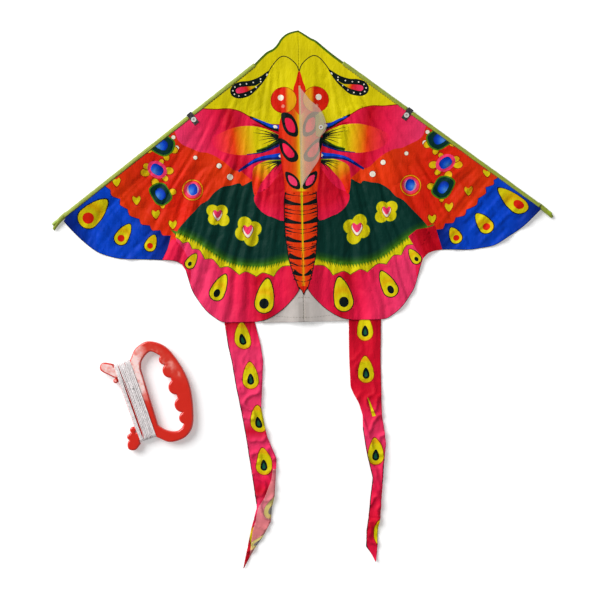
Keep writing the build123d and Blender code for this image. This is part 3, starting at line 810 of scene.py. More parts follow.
# ---------------------------------------------------------------- cloth: cut, printed, then shaped
def cut_cloth(name, outline, shapes, spacing, shape_point, materials, thickness=CLOTH):
    """Cuts a flat piece, prints the shapes on it in order, then moves each point to its place in space."""
    rim = dense(outline, 3.0)
    low_x, high_x = min(p[0] for p in rim), max(p[0] for p in rim)
    low_y, high_y = min(p[1] for p in rim), max(p[1] for p in rim)
    columns = np.arange(low_x + 0.37 * spacing, high_x, spacing)
    rows = np.arange(low_y + 0.41 * spacing, high_y, spacing * 0.87)
    grid = np.array([(x + (0.5 * spacing if k % 2 else 0), y) for k, y in enumerate(rows) for x in columns])
    grid = grid[inside(grid, rim)]
    points, faces, middles = triangulated([rim] + [dense(o, 4.0) for o, _ in shapes], grid)
    keep = inside(middles, rim)
    faces, middles = faces[keep], middles[keep]
    layer = np.full(len(faces), -1)
    for number, (loop, _) in enumerate(shapes):
        low, high = np.min(loop, axis=0), np.max(loop, axis=0)
        near = np.flatnonzero(((middles >= low) & (middles <= high)).all(axis=1))
        layer[near[inside(middles[near], list(loop))]] = number
    holes = [number for number, (_, paint) in enumerate(shapes) if paint is None]
    cloth_left = ~np.isin(layer, holes)
    faces, layer = faces[cloth_left], layer[cloth_left]
    flat_points, faces = used_only(points, faces)
    vertices = [tuple(c * MM for c in shape_point(x, y)) for x, y in flat_points]
    cloth = new_piece(name, vertices, faces.tolist(), *materials)
    tint = np.ones((len(faces) * 3, 4), np.float32)
    corner_points = flat_points[faces].reshape(-1, 2)
    for number in set(layer.tolist()):
        paint = shapes[number][1] if number >= 0 else flat((0.8, 0.8, 0.8))
        mine = np.repeat(layer == number, 3)
        tint[mine, :3] = np.clip(paint(corner_points[mine]), 0, 1)
    # these colours are the print, together with the painted shade marks drawn among the shapes
    colours = cloth.data.color_attributes.new("PrintAndShade", "FLOAT_COLOR", "CORNER")
    colours.data.foreach_set("color", tint.ravel())
    thicken(cloth, thickness)
    return cloth


# ---------------------------------------------------------------- how the cloth lies
EYELET = at_edge(117, 10.4)
FOLD_CENTRE = (30, 405)                             # the folds fan out from here, above the head


def ease(value, low, high):
    """0 below low and 1 above high, with a smooth rise between."""
    t = min(max((value - low) / (high - low), 0.0), 1.0)
    return t * t * (3 - 2 * t)


def field(x, y, scale, seed):
    """Soft noise from -1 to 1, with features about scale millimetres across."""
    return noise.noise(Vector((x / scale + seed, y / scale - seed, seed)))


def crease(value, sharp):
    """A fold across: 0 in the open and 1 on its line, falling away quickly."""
    return exp(-(value / sharp) ** 2)


# the strong folds of each half: bearing from the point above the head in radians, depth, and width in radians
CREASES = {-1: ((0.475, 2.2, 0.016), (0.62, 1.5, 0.020), (0.29, 1.6, 0.014), (0.17, 1.2, 0.012),
                (0.76, 1.6, 0.018), (0.40, 1.0, 0.010), (0.07, 1.1, 0.012), (-0.03, 1.0, 0.012)),
           1: ((0.43, 2.1, 0.015), (0.56, 1.4, 0.018), (0.33, 1.7, 0.015), (0.22, 1.2, 0.012),
               (0.70, 1.7, 0.020), (0.49, 1.0, 0.010), (0.12, 1.1, 0.011), (0.03, 1.0, 0.012))}


def cloth_height(x, y, side):
    """Height of the middle of the sail, which is held up by its spars and hangs in folds that fan out."""
    ax = abs(x)
    seed = 3.7 if side > 0 else 9.2
    rim = edge_inset(x, y)
    held = max(1 - ease(rim, 5, 60), 1 - ease(ax, 6, 46))
    held = max(held, 1 - ease(hypot(ax - EYELET[0], y - EYELET[1]), 7, 26))
    hem = ease(110 - y, 0, 120) if ax < 178 else ease(170 - y, 0, 95)
    slack = 1 - held
    height = SAIL_MID - slack * (0.2 + 0.8 * hem)
    open_air = ease(rim, 4, 44) * ease(ax, 8, 34)
    open_air *= ease(hypot(ax - EYELET[0], y - EYELET[1]), 6, 16)
    away_x, away_y = ax - FOLD_CENTRE[0], FOLD_CENTRE[1] - y
    bearing = atan2(away_x, away_y) + 0.030 * field(x, y, 75, seed)
    far = min(hypot(away_x, away_y) / 230, 1.25)
    # broad folds, then the sharp ones, then fine pleats over the hindwing
    ridge = 1 - abs(noise.noise(Vector((bearing / 0.075, far * 1.1, seed + 1)))) * 2.2
    height -= 2.3 * open_air * far * max(ridge, 0) ** 2.4
    height -= 1.0 * open_air * far * (0.5 + 0.5 * sin(bearing * 2 * pi / 0.125 + seed))
    ridge = 1 - abs(noise.noise(Vector((bearing / 0.026, far * 2.0, seed + 3)))) * 2.0
    height -= 0.8 * open_air * far * max(ridge, 0) ** 2
    ridge = 1 - abs(field(x, y * 0.8 + ax * 0.3, 24, seed + 21)) * 3.2
    height -= 0.75 * open_air * max(ridge, 0) ** 3
    for at, depth, sharp in CREASES[side]:
        run = 0.55 + 0.45 * field(x, y, 90, seed + at * 10)
        height -= 2.1 * depth * open_air * far * run * crease(bearing - at, sharp)
    hind = ease(200 - y, 0, 50) * ease(186 - ax, 0, 24)
    pleat = sin(bearing * 2 * pi / 0.036 + 2.6 * field(x, y, 34, seed + 4))
    height -= (0.05 + 0.24 * hind) * open_air * (1 + pleat) * (0.7 + 0.5 * field(x, y, 45, seed + 5))
    # the outer corner is pulled slantwise
    outer = ease(ax, 178, 215) * ease(rim, 6, 30)
    slant = ax * 0.72 - y * 0.69 + 7 * field(x, y, 60, seed + 8)
    height -= outer * (1.1 * (1 + sin(slant * 2 * pi / 23)) + 0.34 * (1 + sin(slant * 2 * pi / 8.5 + 1)))
    # small soft dents
    height -= 0.9 * slack * (1 + field(x, y, 34, seed + 10))
    height -= 0.55 * open_air * (1 + field(x, y, 11, seed + 12))
    # it stays above the ground, and above the room in which the spreader slides out
    over_spreader = ease(y, 180, 194) * (1 - ease(y, 266, 278)) * (1 - ease(ax, 158, 172))
    lowest = 1.6 + 3.5 * over_spreader
    return height if height > lowest else lowest - 0.6 * (1 - exp((height - lowest) / 0.6))


def sail_place(side):
    """Puts points of the flat sail at their height."""
    return lambda x, y: (x, y, cloth_height(x, y, side))


# the rims of the two halves: the nose and the outer hem differ a little from side to side
NOSE_RIMS = {-1: smooth([(0, 377.5), (8, 376), (17, 372.8), (25, 366), (30, 358.5), (36, 352.5), (45, 348),
                         (54, 340), (62.5, 331.5)]),
             1: smooth([(0, 377.5), (8, 372.5), (17, 366.5), (25, 362.3), (37, 351.8), (48, 342.6),
                        (62.5, 331.5)])}
INNER_HEM = smooth([(5.6, 15.4), (12, 5.5), (25, -8.5), (34, -16), (45, -23), (55, -27.3), (66, -29.5)])
HIND_HEM = smooth([(111, -29.5), (119, -27), (136, -14), (151, 6), (158, 20.5), (165, 45)])
FORE_HEMS = {-1: smooth([(170, 53), (180, 58), (198, 60), (225, 61.5), (250, 62.5), (268, 65.5), (288, 73),
                         (307, 87.5), (324, 105), (334, 117)]),
             1: smooth([(168.5, 55), (178, 63), (198, 66.5), (230, 65.5), (250, 67.5), (270, 71.5),
                        (289.5, 83), (308, 95), (324, 109.5), (334.5, 120)])}


def turned(points, side):
    """Points of the right half, or the same on the left."""
    return [(side * x, y) for x, y in points]


def carried_forward(shapes):
    """The right wing lies a little forward of the left, and its print lies further out with it."""
    def moved(x, y):
        share = ease(x, 165, 315) * ease(edge_inset(x, y), 0, 36)
        return x + 5 * share, y + 8.5 * share
    return [([moved(x, y) for x, y in outline], paint) for outline, paint in shapes]


def make_sail(name, side, materials):
    """One half of the sail, from the centre seam to the leading edge, printed and hung in folds."""
    forewing = forewing_print() if side < 0 else carried_forward(forewing_print())
    shapes = forewing + hindwing_print() + flame_print()
    shapes += body_print() if side < 0 else narrowed(body_print(), 0.14)
    shapes += [(band(line, 1.5), flat(DARK)) for line in (INNER_HEM, HIND_HEM, FORE_HEMS[side])]
    shapes.append((band(NOSE_RIMS[side], 5.0, 7.0), across((0, 380), (60, 330), (0, OLIVE), (0.5, LEAF),
                                                           (1, OLIVE))))
    shapes.append((band(NOSE_RIMS[side], 2.2, 3.0), flat(MOSS)))
    # painted shade: on the right wing the notch is coloured darker crimson towards the outside, standing in
    # for the shade of a fold there
    if side > 0:
        shaded_notch = [(148, 86), (160, 95.5), (176, 98), (186, 101), (197, 63), (178, 61), (169, 55), (160, 66)]
        shapes.append((shaded_notch, across((150, 70), (186, 82), (0, PINK), (0.45, CRIMSON), (1, CRIMSON))))
    eyelet_hole = oval(*EYELET, 2.4, steps=16)
    shapes.append((eyelet_hole, None))
    if side < 0:
        shapes = list(mirrored_print(shapes))
    rim = [(0, 6.2), (3, 13.2)] + INNER_HEM + HIND_HEM + FORE_HEMS[side] + [at_edge(335, 2.4),
                                                                            at_edge(3, 2.4)]
    sail = cut_cloth(f"{name}_sail", turned(rim + NOSE_RIMS[side][::-1], side), shapes, 2.4,
                     sail_place(side), materials)
    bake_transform(sail)
    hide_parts(f"{name}_inner_sail", f"{name}_wing_sail")


def narrowed(shapes, share):
    """The same shapes, with the part over the abdomen drawn in towards the centre seam."""
    return [([(x * (1 - share * ease(170 - y, 0, 30)), y) for x, y in outline], paint) for outline,
            paint in shapes]


def mirrored_print(shapes):
    """The same print for the left half. Its paints are asked for the colours of the right half."""
    for outline, paint in shapes:
        if paint is None:
            yield [(-x, y) for x, y in outline], None
        else:
            yield ([(-x, y) for x, y in outline],
                   lambda points, paint=paint: paint(points * np.array([-1.0, 1.0])))


# ---------------------------------------------------------------- strips swept along a line
def swept_strip(name, stations, section, place, material, seed):
    """A folded strip of cloth: section points (u, z) carried along stations, with small wrinkles."""
    vertices = []
    for station in stations:
        for i, (u, z) in enumerate(section):
            wrinkle = 0.30 * noise.noise(Vector((station / 5.0, i * 0.45, seed)))
            wrinkle += 0.22 * noise.noise(Vector((station / 16.0, i * 0.2, seed + 5)))
            du, dz = u - SPAR_IN_SLEEVE[0], z - SPAR_IN_SLEEVE[1]
            reach = hypot(du, dz) or 1
            u, z = u + du / reach * wrinkle, max(z + dz / reach * wrinkle, 0.35)
            vertices.append(tuple(c * MM for c in place(station, u, z)))
    strip = new_piece(name, vertices, between_rows(len(stations), len(section)), material)
    thicken(strip, SLEEVE_CLOTH)
    return strip


SLEEVE_SECTION = smooth([(5.6, 8.95), (4.2, 9.0), (2.8, 8.85), (1.3, 8.1), (0.35, 6.4), (0.15, 4.2),
                         (0.6, 2.3),
                         (1.9, 1.1), (3.4, 1.1), (4.7, 2.6), (5.2, 5.0), (5.35, 7.0), (5.5, 7.7)], 3)
SPAR_IN_SLEEVE = (SLEEVE_WIDE / 2, 4.2)             # how far in from the edge the spar lies, and how high
SLEEVE_LENGTHS = (("upper", 2.0, 112.6), ("lower", 121.4, 343.0))    # stations along the leading edge


def make_sleeves(name, side, material):
    """The two lengths of sleeve that hold a spar."""
    def place(station, u, z):
        x, y = at_edge(station, u)
        return side * x, y, z
    for label, start, end in SLEEVE_LENGTHS:
        stations = np.linspace(start, end, round((end - start) / 1.6))
        sleeve = swept_strip(f"{name}_{label}_sleeve_cloth", stations, SLEEVE_SECTION, place, material,
                             side * 3.3 + start)
        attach(sleeve, f"{name}_wing")
        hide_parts(f"{name}_{label}_sleeve")


# ---------------------------------------------------------------- stitching
STITCH, STITCH_GAP = 2.2, 1.3


def thread(name, line, height, body, material, wide):
    """A row of stitches: short flat-lying dashes along a line."""
    places = dense(line, 0.5, closed=False)
    vertices, faces = [], []
    walked, on, last = 0.0, True, places[0]
    run = [places[0]]
    runs = []
    for p in places[1:]:
        walked += hypot(p[0] - last[0], p[1] - last[1])
        if on:
            run.append(p)
        if walked > (STITCH if on else STITCH_GAP):
            if on:
                runs.append(run)
            run = [p]
            on, walked = not on, 0.0
        last = p
    for run in runs:
        (ax, ay), (bx, by) = run[0], run[-1]
        length = hypot(bx - ax, by - ay) or 1
        nx, ny = -(by - ay) / length * wide / 2, (bx - ax) / length * wide / 2
        base = len(vertices)
        for x, y in ((ax, ay), (bx, by)):
            z = height(x, y)
            for s, t, lift in ((-1, -1, 0), (1, 1, 0), (1, 1, wide * 0.6), (-1, -1, wide * 0.6)):
                vertices.append(((x + s * nx) * MM, (y + t * ny) * MM, (z + lift) * MM))
        faces += [tuple(base + i for i in f) for f in ((0, 1, 5, 4), (1, 2, 6, 5), (2, 3, 7, 6),
                                                       (3, 0, 4, 7), (0, 3, 2, 1), (4, 5, 6, 7))]
    mesh = bpy.data.meshes.new(name)
    mesh.from_pydata(vertices, [], faces)
    mesh.materials.append(material)
    row = linked(name, mesh)
    if isinstance(body, str):
        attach(row, body)
    else:
        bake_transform(row)
    return row


# ---------------------------------------------------------------- clear panel below the body
PANEL_RIM = [(0, 24), (7, 24)] + smooth([(14, 13), (27, -1), (36, -9), (47, -16), (57, -20.5),
                                         (61, -21.5)]) + [
    (61, -31), (0, -31)]


def make_clear_panel(name, side, material):
    """Half of the clear film between the hind lobes, under their hems."""
    def place(x, y):
        return x, y, cloth_height(x, y, side) - 0.6
    rim = turned(PANEL_RIM[::-1], side)
    panel = cut_cloth(f"{name}_clear_panel", rim, [(rim, flat(WHITE))], 3.2, place, [material], FILM)
    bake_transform(panel)
    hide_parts(f"{name}_clear_panel_side", *(["clear_panel"] if side > 0 else []))


def make_stitches(name, side, pale, dark, crimson, blue):
    """Rows of stitching: along the sleeve, just inside the hems, and over the clear panel."""
    def on_sail(x, y):
        return cloth_height(x, y, side) + 0.1

    def on_panel(x, y):
        return cloth_height(x, y, side) - 0.48
    crossing = ("root", f"{name}_wing", (side * FOLD_FROM, 0, 0), (side * FOLD_TO, 0, 0))
    edge = [at_edge(station, 6.3) for station in range(4, 113, 4)]
    lower = [at_edge(station, 6.3) for station in range(122, 332, 4)]
    rows = [("upper_sleeve_seam", edge, on_sail, f"{name}_wing", dark, "sleeve_fabric"),
            ("lower_sleeve_seam", lower, on_sail, f"{name}_wing", dark, "sleeve_fabric"),
            ("inner_hem", [(x - 2.2, y + 3.2) for x, y in INNER_HEM[3:-2]], on_sail, crossing, crimson,
             "sail_print"),
            ("hind_hem", [(x - 3.4, y + 1.6) for x, y in HIND_HEM[2:]], on_sail, f"{name}_wing", crimson,
             "sail_print"),
            ("fore_hem", [(x - 1.0, y + 3.6) for x, y in FORE_HEMS[side][12:-3]], on_sail, f"{name}_wing",
             blue, "sail_print"),
            ("panel_upper_row", smooth([(1, 3.5), (8, 3.2), (11.5, 3.0)]), on_panel, "root", dark,
             "seam_tape"),
            ("panel_lower_row", smooth([(1, -24.5), (20, -24), (40, -22), (54, -23.5)]), on_panel, crossing,
             dark, "seam_tape"),
            ("panel_side_row", [(1.3, 19), (1.3, -30)], on_panel, "root", pale if side > 0 else dark,
             "seam_tape")]
    for label, line, height, body, material, slot in rows:
        wide = 0.6 if slot == "sleeve_fabric" else 0.28
        row = thread(f"{name}_{label}_stitches", turned(line, side), height, body, material, wide)


def make_tip_flap(name, side, material):
    """The sleeve's loose end, which runs on over the cap of the spar and curls down."""
    droop = 5.5 if side < 0 else 2.0
    rows, count = 17, 9
    vertices = []
    for k in range(rows):
        t = k / (rows - 1)
        station, middle = 339 + 28 * t, SPAR_IN_SLEEVE[0] + droop * t ** 2.4
        half = 3.4 * (1 - 0.4 * t ** 3)
        for j in range(count):
            a = 2 * j / (count - 1) - 1
            x, y = at_edge(station, middle + half * sin(a * 1.5))
            z = 4.3 + (3.3 - 0.9 * t) * cos(a * 1.45) - 2.6 * t ** 3 + 0.3 * field(station, a * 4, 5,
                                                                                   2.0 + side)
            vertices.append((side * x * MM, y * MM, max(z, 0.5) * MM))
    flap = new_piece(f"{name}_sleeve_end", vertices, between_rows(rows, count), material)
    thicken(flap, SLEEVE_CLOTH)
    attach(flap, f"{name}_wing")


# ---------------------------------------------------------------- tails
TAIL_FLAT = 46.0                                    # the ribbon's width when it is flat
TAIL_TOP = -24
# each row: y, the left and right edges as the tail lies, and the width that is turned over on top
LEFT_TAIL = [(-24, -113, -71, 0), (-62, -108, -62, 0), (-85, -103, -59, 0), (-118, -98, -61, 0),
             (-150, -92, -63, 0), (-174, -88, -59, 0), (-192, -85, -55, 0), (-222, -81, -43, 0),
             (-251, -77, -45, 1), (-275, -74, -47, 10), (-290, -72, -51, 16), (-310, -78, -53, 22),
             (-330, -83, -64, 14), (-348, -87, -77, 5), (-361, -90, -84.5, 0), (-375, -93, -92, 0)]
RIGHT_TAIL = [(-24, 62, 108, 0), (-85, 62, 106, 0), (-123, 63, 106, 0), (-133, 67, 106, 0),
              (-146, 74, 106, 0),
              (-163, 79, 106, 0), (-184, 79, 109, 0), (-205, 82, 111, 0), (-219, 84, 109, 0),
              (-237, 88, 107, 0), (-251, 91, 106, 0), (-282, 87, 103, 0), (-307, 84, 101, 0),
              (-324, 81, 97, 0), (-348, 80, 96, 0), (-358, 87, 95, 0), (-369, 92.5, 93.5, 0)]


def tail_cut(y, table):
    """Left edge, right edge, the width turned over on top, and the widths turned under left and right."""
    ys = [-row[0] for row in table]
    left, right, over = (float(np.interp(-y, ys, [row[k] for row in table])) for k in (1, 2, 3))
    to_point = ease(-y, -table[-1][0] - 75, -table[-1][0] - 25)
    whole = TAIL_FLAT * (1 - to_point) + (right - left + over) * to_point
    hidden = max(whole - (right - left) - over, 0)
    under_left = hidden * (0.62 if table is LEFT_TAIL else 0.7)
    return left, right, over, under_left, hidden - under_left


def sum_cut(y, table):
    """The whole width of the ribbon, with what is turned over and under."""
    left, right, over, under, under_right = tail_cut(y, table)
    return right - left + over + under + under_right


def make_tail(name, table, drops, slivers, shaded_edges, materials):
    """A printed ribbon that lies on the ground, partly turned over and under, and rises to its seam."""
    low = table[-1][0]

    def to_flat(x, y):
        left, _, _, under, _ = tail_cut(y, table)
        return under + x - left, y

    def zigzag(past, shown):
        """A part turned under lies back and forth below what shows."""
        turn, rest = divmod(past, shown)
        return (rest if turn % 2 == 0 else shown - rest), turn

    def place(s, y):
        left, right, over, under, under_right = tail_cut(y, table)
        shown = max(right - left, 0.8)
        folds = ease(under, 0.5, 5) * (1 + under // shown) + ease(under_right, 0.5, 5)
        top = 0.5 + 0.95 * folds
        if s < under:
            away, turn = zigzag(under - s, shown)
            x, z = left + away, max(top - 0.95 * (1 + turn), 0.35)
            z += (top - z) * (1 - ease(under - s, 0, 1.6)) * 0.5
        elif s <= under + shown:
            x, z = left + (s - under), top
            z -= 0.4 * (1 - ease(s - under, 0, 1.6)) * ease(under, 0.5, 5)
        elif over > 0.5:
            x, z = right - (s - under - shown), top + 1.3 * ease(s - under - shown, 0, 1.8)
        else:
            away, turn = zigzag(s - under - shown, shown)
            x, z = right - away, 0.35
        # crumples: soft waves, and slanting folds where the ribbon narrows
        wobble = 0.9 * (1 + field(x, y, 15, 2.2)) + 0.8 * (1 + field(x, y, 40, 5.1))
        narrow = ease(TAIL_FLAT - shown, 3, 14)
        ridge = 1 - abs(field(x * 0.8 + y * 0.35, y * 0.55 - x * 0.4, 13, 8.8)) * 2.2
        wobble += (1.6 + 1.9 * narrow) * max(ridge, 0) ** 2.2
        rise = ease(y, -92, -36)
        z = z + wobble * (0.25 + 0.75 * ease(-y, 34, 70))
        z = z * (1 - 0.75 * rise) + rise * (cloth_height(x, max(y, -29), 1 if x > 0 else -1) - 1.8)
        return x, y, max(z, 0.3)

    steps = [-30 - 6 * k for k in range(int((-30 - low) / 6) + 1)]
    steps = [y for y in steps if y > low + 2] + [low]
    rim = [(0, TAIL_TOP)] + [(0, y) for y in steps]
    rim += [(max(sum_cut(y, table), 1.0), y) for y in reversed(steps)]
    rim += [(sum_cut(TAIL_TOP, table), TAIL_TOP)]
    # the two folds are drawn too, so that the cloth can turn sharply along them
    cuts = [(y, tail_cut(y, table)) for y in range(-25, int(low), -3)]
    right_fold = [(under + max(right - left, 0.8), y) for y, (left, right, _, under, _) in cuts]
    left_fold = [(max(under, -1 + 0.001 * y), y) for y, (_, _, _, under, _) in cuts if under > 0.5]
    shapes = [([(-20, 0), (80, 0), (80, -400), (-20, -400)], tail_paint(name)),
              (right_fold + [(80, low), (80, -25)], tail_paint(name))]
    if left_fold:
        shapes.append((left_fold + [(-20, left_fold[-1][1]), (-20, left_fold[0][1])], tail_paint(name)))
    for (tx, ty), (cx, cy), r in drops:
        tip, centre = to_flat(tx, ty), to_flat(cx, cy)
        low_end = (centre[0], centre[1] - r * 0.05)
        shapes += [(drop((tip[0], tip[1] + 1.5), centre, r + 1.0), flat(RUST)),
                   (drop(tip, centre, r), around((centre[0], centre[1] + r * 0.5), (0, LEMON),
                                                 (r * 1.1, LEMON), (r * 1.5, GOLD), (r * 1.9, LEMON))),
                   (drop((centre[0], centre[1] + r * 0.95), low_end, r * 0.45), flat(DARK)),
                   (drop((centre[0], centre[1] + r * 0.5), low_end, r * 0.2), flat(EMERALD))]
    for start, end, wide in slivers:
        shapes.append((band([to_flat(*start), to_flat(*end)], wide + 1.2, 1.6), flat(RUST)))
        shapes.append((band([to_flat(*start), to_flat(*end)], wide, 0.8), flat(LEMON)))
    for first, last, edge in shaded_edges:
        line = []
        for y in range(first, last, -5):
            left, right, _, under, _ = tail_cut(y, table)
            line.append((under + (0.5 if edge == "left" else right - left - 0.5), y))
        shapes.append((band(line, 1.2), flat(DARK)))
    tail = cut_cloth(f"{name}_ribbon", rim, shapes, 2.0, place, materials, RIBBON)
    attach(tail, name)
    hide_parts(name)


def tail_paint(name):
    """Crimson by the seam, then rose with deeper patches."""
    stops = {"left_tail": ((0, CRIMSON), (0.05, PINK), (0.12, ROSE), (0.4, ROSE), (0.45, CHERRY),
                           (0.5, ROSE),
                           (0.66, PINK), (0.7, CHERRY), (0.76, ROSE), (0.86, CHERRY), (1, CRIMSON)),
             "right_tail": ((0, CRIMSON), (0.1, CHERRY), (0.32, CHERRY), (0.5, ROSE), (0.7, PINK),
                            (0.85, CHERRY), (1, PINK))}[name]
    return across((20, -30), (26, -370), *stops)


def drops_at(*places):
    """The teardrops of a tail: tip, centre and radius of each."""
    return [((x - 1, y + 20.5), (x, y - 6), 11.0) for x, y in places]


# ---------------------------------------------------------------- keel
KEEL_RIM = [(0.4, 298)] + smooth([(14, 280), (30, 264), (36.4, 240), (26.5, 224), (26, 199),
                                  (14, 180)]) + [(0.4, 158)]


def keel_place(x, y):
    """The keel lies over to the right, just above the sail. Its small ripples leave its eyelet alone."""
    away = ease(hypot(x - 28.5, y - 242), 12, 24) * ease(x, 2, 9)
    ripple = 0.45 * sin(y / 5.1 + x / 9) + 0.35 * field(x, y, 9, 4.4)
    return x, y, 9.5 - 0.5 * (1 - ease(x, 0.4, 3)) + away * ripple * 0.7


def make_keel(material):
    rim = KEEL_RIM[::-1]
    keel = cut_cloth("keel_film", rim, [(rim, flat(WHITE))], 1.8, keel_place, [material], FILM)
    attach(keel, "keel")
    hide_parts("keel")


# ---------------------------------------------------------------- winder and its line
WINDER_AT = (-227.5, -133.5)
WINDER_TURN = radians(18.1)
WINDER_MID_Z = 7.5
GRIP_OUTSIDE = smooth([(0, 57), (14, 70.5), (35, 73), (56.6, 52.5), (67.7, 2.6), (57.2, -48.7),
                       (41.2, -68.7), (16.5, -70.1), (0, -57)], 12)
HOLE = smooth([(10.5, 41), (16, 51.5), (30, 59), (40, 51), (45.5, 42)], 6) + smooth(
    [(45.5, -46), (38, -55.5), (28, -58), (16, -52), (7.5, -42)], 6)
BUMPS = [(45.8, 42, 7.6), (48.6, 25.2, 10.8), (48.6, 0.3, 10.8), (48.6, -25.5, 10.8), (46.4, -44.5, 8.6)]
CORE = [(-24.6, 56.2), (-24.6, -54), (0.6, -54), (0.6, 56.2)]
HORNS = [smooth([(-26.5, 39), (-32.5, 45), (-43, 56.5), (-41.5, 64), (-36, 66), (-29, 62.8), (-23.6, 59.6)])
         + [(-23.6, 39)],
         smooth([(-24.6, -58.4), (-34, -64), (-42.5, -60), (-41, -51), (-33, -45), (-25.5, -41)]) + [(-24.6,
                                                                                                      -41)]]
LOBES = [(-35, -44.5, 4.4), (-28, -36.5, 4.4), (-30.5, -43, 4.8), (-28.2, 36.3, 3.4)]


def winder_point(x, y, z):
    """From the winder's own measure, with its grip to the right, to its place on the ground."""
    c, s = cos(WINDER_TURN), sin(WINDER_TURN)
    return ((WINDER_AT[0] + x * c - y * s) * MM, (WINDER_AT[1] + x * s + y * c) * MM, z * MM)


def rounded_plate(name, solids, holes, spacing, half_height, material, to_space):
    """A moulded plate, thick or thin by how deep inside it a point is.

    It is the first outline, less the holes, and then the other outlines.
    """
    every = np.array([p for loop in solids for p in loop])
    low, high = every.min(axis=0), every.max(axis=0)
    grid = np.array([(x, y) for x in np.arange(low[0], high[0], spacing) for y in np.arange(low[1], high[1],
                                                                                            spacing)])
    points, faces, middles = triangulated([dense(loop, spacing) for loop in solids + holes], grid)
    keep = inside(middles, solids[0])
    for loop in holes:
        keep &= ~inside(middles, loop)
    for loop in solids[1:]:
        keep |= inside(middles, loop)
    points, faces = used_only(points, faces[keep])
    sides = dict.fromkeys(edge for a, b, c in faces for edge in ((a, b), (b, c), (c, a)))
    rim = [(a, b) for a, b in sides if (b, a) not in sides]
    on_rim = np.array(sorted({a for edge in rim for a in edge}))
    depth = np.full(len(points), 1e9)
    for a, b in rim:
        start, step = points[a], points[b] - points[a]
        t = np.clip(((points - start) @ step) / max(step @ step, 1e-9), 0, 1)
        depth = np.minimum(depth, np.linalg.norm(points - start - t[:, None] * step, axis=1))
    depth[on_rim] = 0
    half = [half_height(x, y, d) for (x, y), d in zip(points, depth)]
    count = len(points)
    vertices = [to_space(x, y, WINDER_MID_Z + h) for (x, y), h in zip(points, half)]
    vertices += [to_space(x, y, WINDER_MID_Z - h) for (x, y), h in zip(points, half)]
    polygons = [tuple(f) for f in faces] + [(c + count, b + count, a + count) for a, b, c in faces]
    polygons += [(b, a, a + count, b + count) for a, b in rim]
    plate = new_piece(name, vertices, [tuple(int(i) for i in p) for p in polygons], material)
    # the Thin values give how thin the moulding is, with a painted highlight patch on the grip among them
    thin = plate.data.attributes.new("Thin", "FLOAT", "POINT")
    thin.data.foreach_set("value", [thinness_and_highlight(x, y, d) for (x, y), d in zip(points, depth)] * 2)
    return plate


def thinness_and_highlight(x, y, depth):
    """How thin the moulding is: it is clear and pale in the upper horn, the upper bar and its corner. It also
    holds a painted highlight.
    """
    horn = 0.85 if x < -23.0 and y > 32 else 0.0
    bar = ease(y, -20, 26) * (1 - ease(x, 9, 13)) if x > -1 else 0.0
    corner = (1 - ease(x, 12, 36)) * ease(y, 36, 50) if x > -1 else 0.0
    # painted highlight: a pale mottled patch at the upper right of the grip, carried in the same values as
    # the thin parts
    cloudy = (1 - ease(hypot((x - 47) * 0.9 + (y - 39) * 0.44, (y - 39) * 0.3), 4, 13)) * (
        0.5 + 0.5 * noise.noise(Vector((x / 5, y / 5, 3.3)))) if x > 30 else 0.0
    return max(horn, bar, corner * 0.85, cloudy * 0.62) * ease(depth, 0.8, 2.6)


def winder_half(x, y, depth):
    """Half the thickness of the moulding, with round edges."""
    full = 5.5 if x > 0.4 else 4.5
    edge = sqrt(max(1 - (1 - min(depth / 2.2, 1)) ** 2, 0))
    return 2.6 + (full - 2.6) * edge + 0.12 * noise.noise(Vector((x / 9, y / 9, 1.5)))


def make_winder(material):
    """The moulding: grip, its hole, the finger bumps in it, the core for the line, and its horns."""
    solids = [GRIP_OUTSIDE] + [oval(x, y, r, steps=30) for x, y, r in BUMPS + LOBES] + [CORE] + HORNS
    plate = rounded_plate("winder_moulding", solids, [HOLE], 1.1, winder_half, material, winder_point)
    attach(plate, "winder")
    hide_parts("winder_handle")


LINE_D = 0.7
TURNS = 118
POINTS_PER_TURN = 24
CORE_HALF = 4.5                                     # half the core's thickness
CORE_REACH = 54.0                                   # half its length
PILE = (-23.4, -0.4)                                # the line lies between these edges
LANES = ((-23.4, -18.9, 7), (-16.1, -0.4, 23))      # edges and turns of two lanes with a slit between


def line_points():
    """The whole line, wound end over end in layers, with its turns crossing a little."""
    rng = random.Random(4)
    count_all = sum(count for *_, count in LANES)
    row = [(low + (high - low) * (k + 0.5) / count, low, high) for low, high,
           count in LANES for k in range(count)]
    starts = []
    layer = 0
    while len(starts) < TURNS:
        ready = [(PILE[0] + (PILE[1] - PILE[0]) * (k + 0.5) / count_all, *lane, layer) for k,
                 lane in enumerate(row)]
        starts += ready if layer % 2 == 0 else ready[::-1]
        layer += 1
    out = []
    for turn, (even, x, low, high, layer) in enumerate(starts[:TURNS]):
        lean = rng.uniform(-0.12, 0.12) * (high - low)
        lift = CORE_HALF + LINE_D / 2 + 0.12 + layer * LINE_D * 0.80 + rng.uniform(0, 0.25)
        long = CORE_REACH + 0.6 + layer * 0.55
        for i in range(POINTS_PER_TURN):
            a = 2 * pi * i / POINTS_PER_TURN
            c, s = cos(a), sin(a)
            y = (long + (2.2 if c > 0 else 0)) * (abs(c) ** 0.55) * (1 if c >= 0 else -1)
            z = lift * (abs(s) ** 0.35) * (1 if s >= 0 else -1)
            apart = ease(y, -53, -46) * (1 - ease(y, 25, 37))
            drift = lean * s + 0.5 * noise.noise(Vector((turn * 1.7, i * 0.6, 2.2)))
            least, most = PILE[0] + (low - PILE[0]) * apart, PILE[1] + (high - PILE[1]) * apart
            x_here = min(max(even + (x - even) * apart + drift, least - 0.2), most + 0.2)
            z_here = WINDER_MID_Z + z + 0.22 * noise.noise(Vector((turn * 0.9, i * 0.5, 7.0)))
            out.append((x_here, y, max(z_here, LINE_D / 2 + 0.1)))
    return out


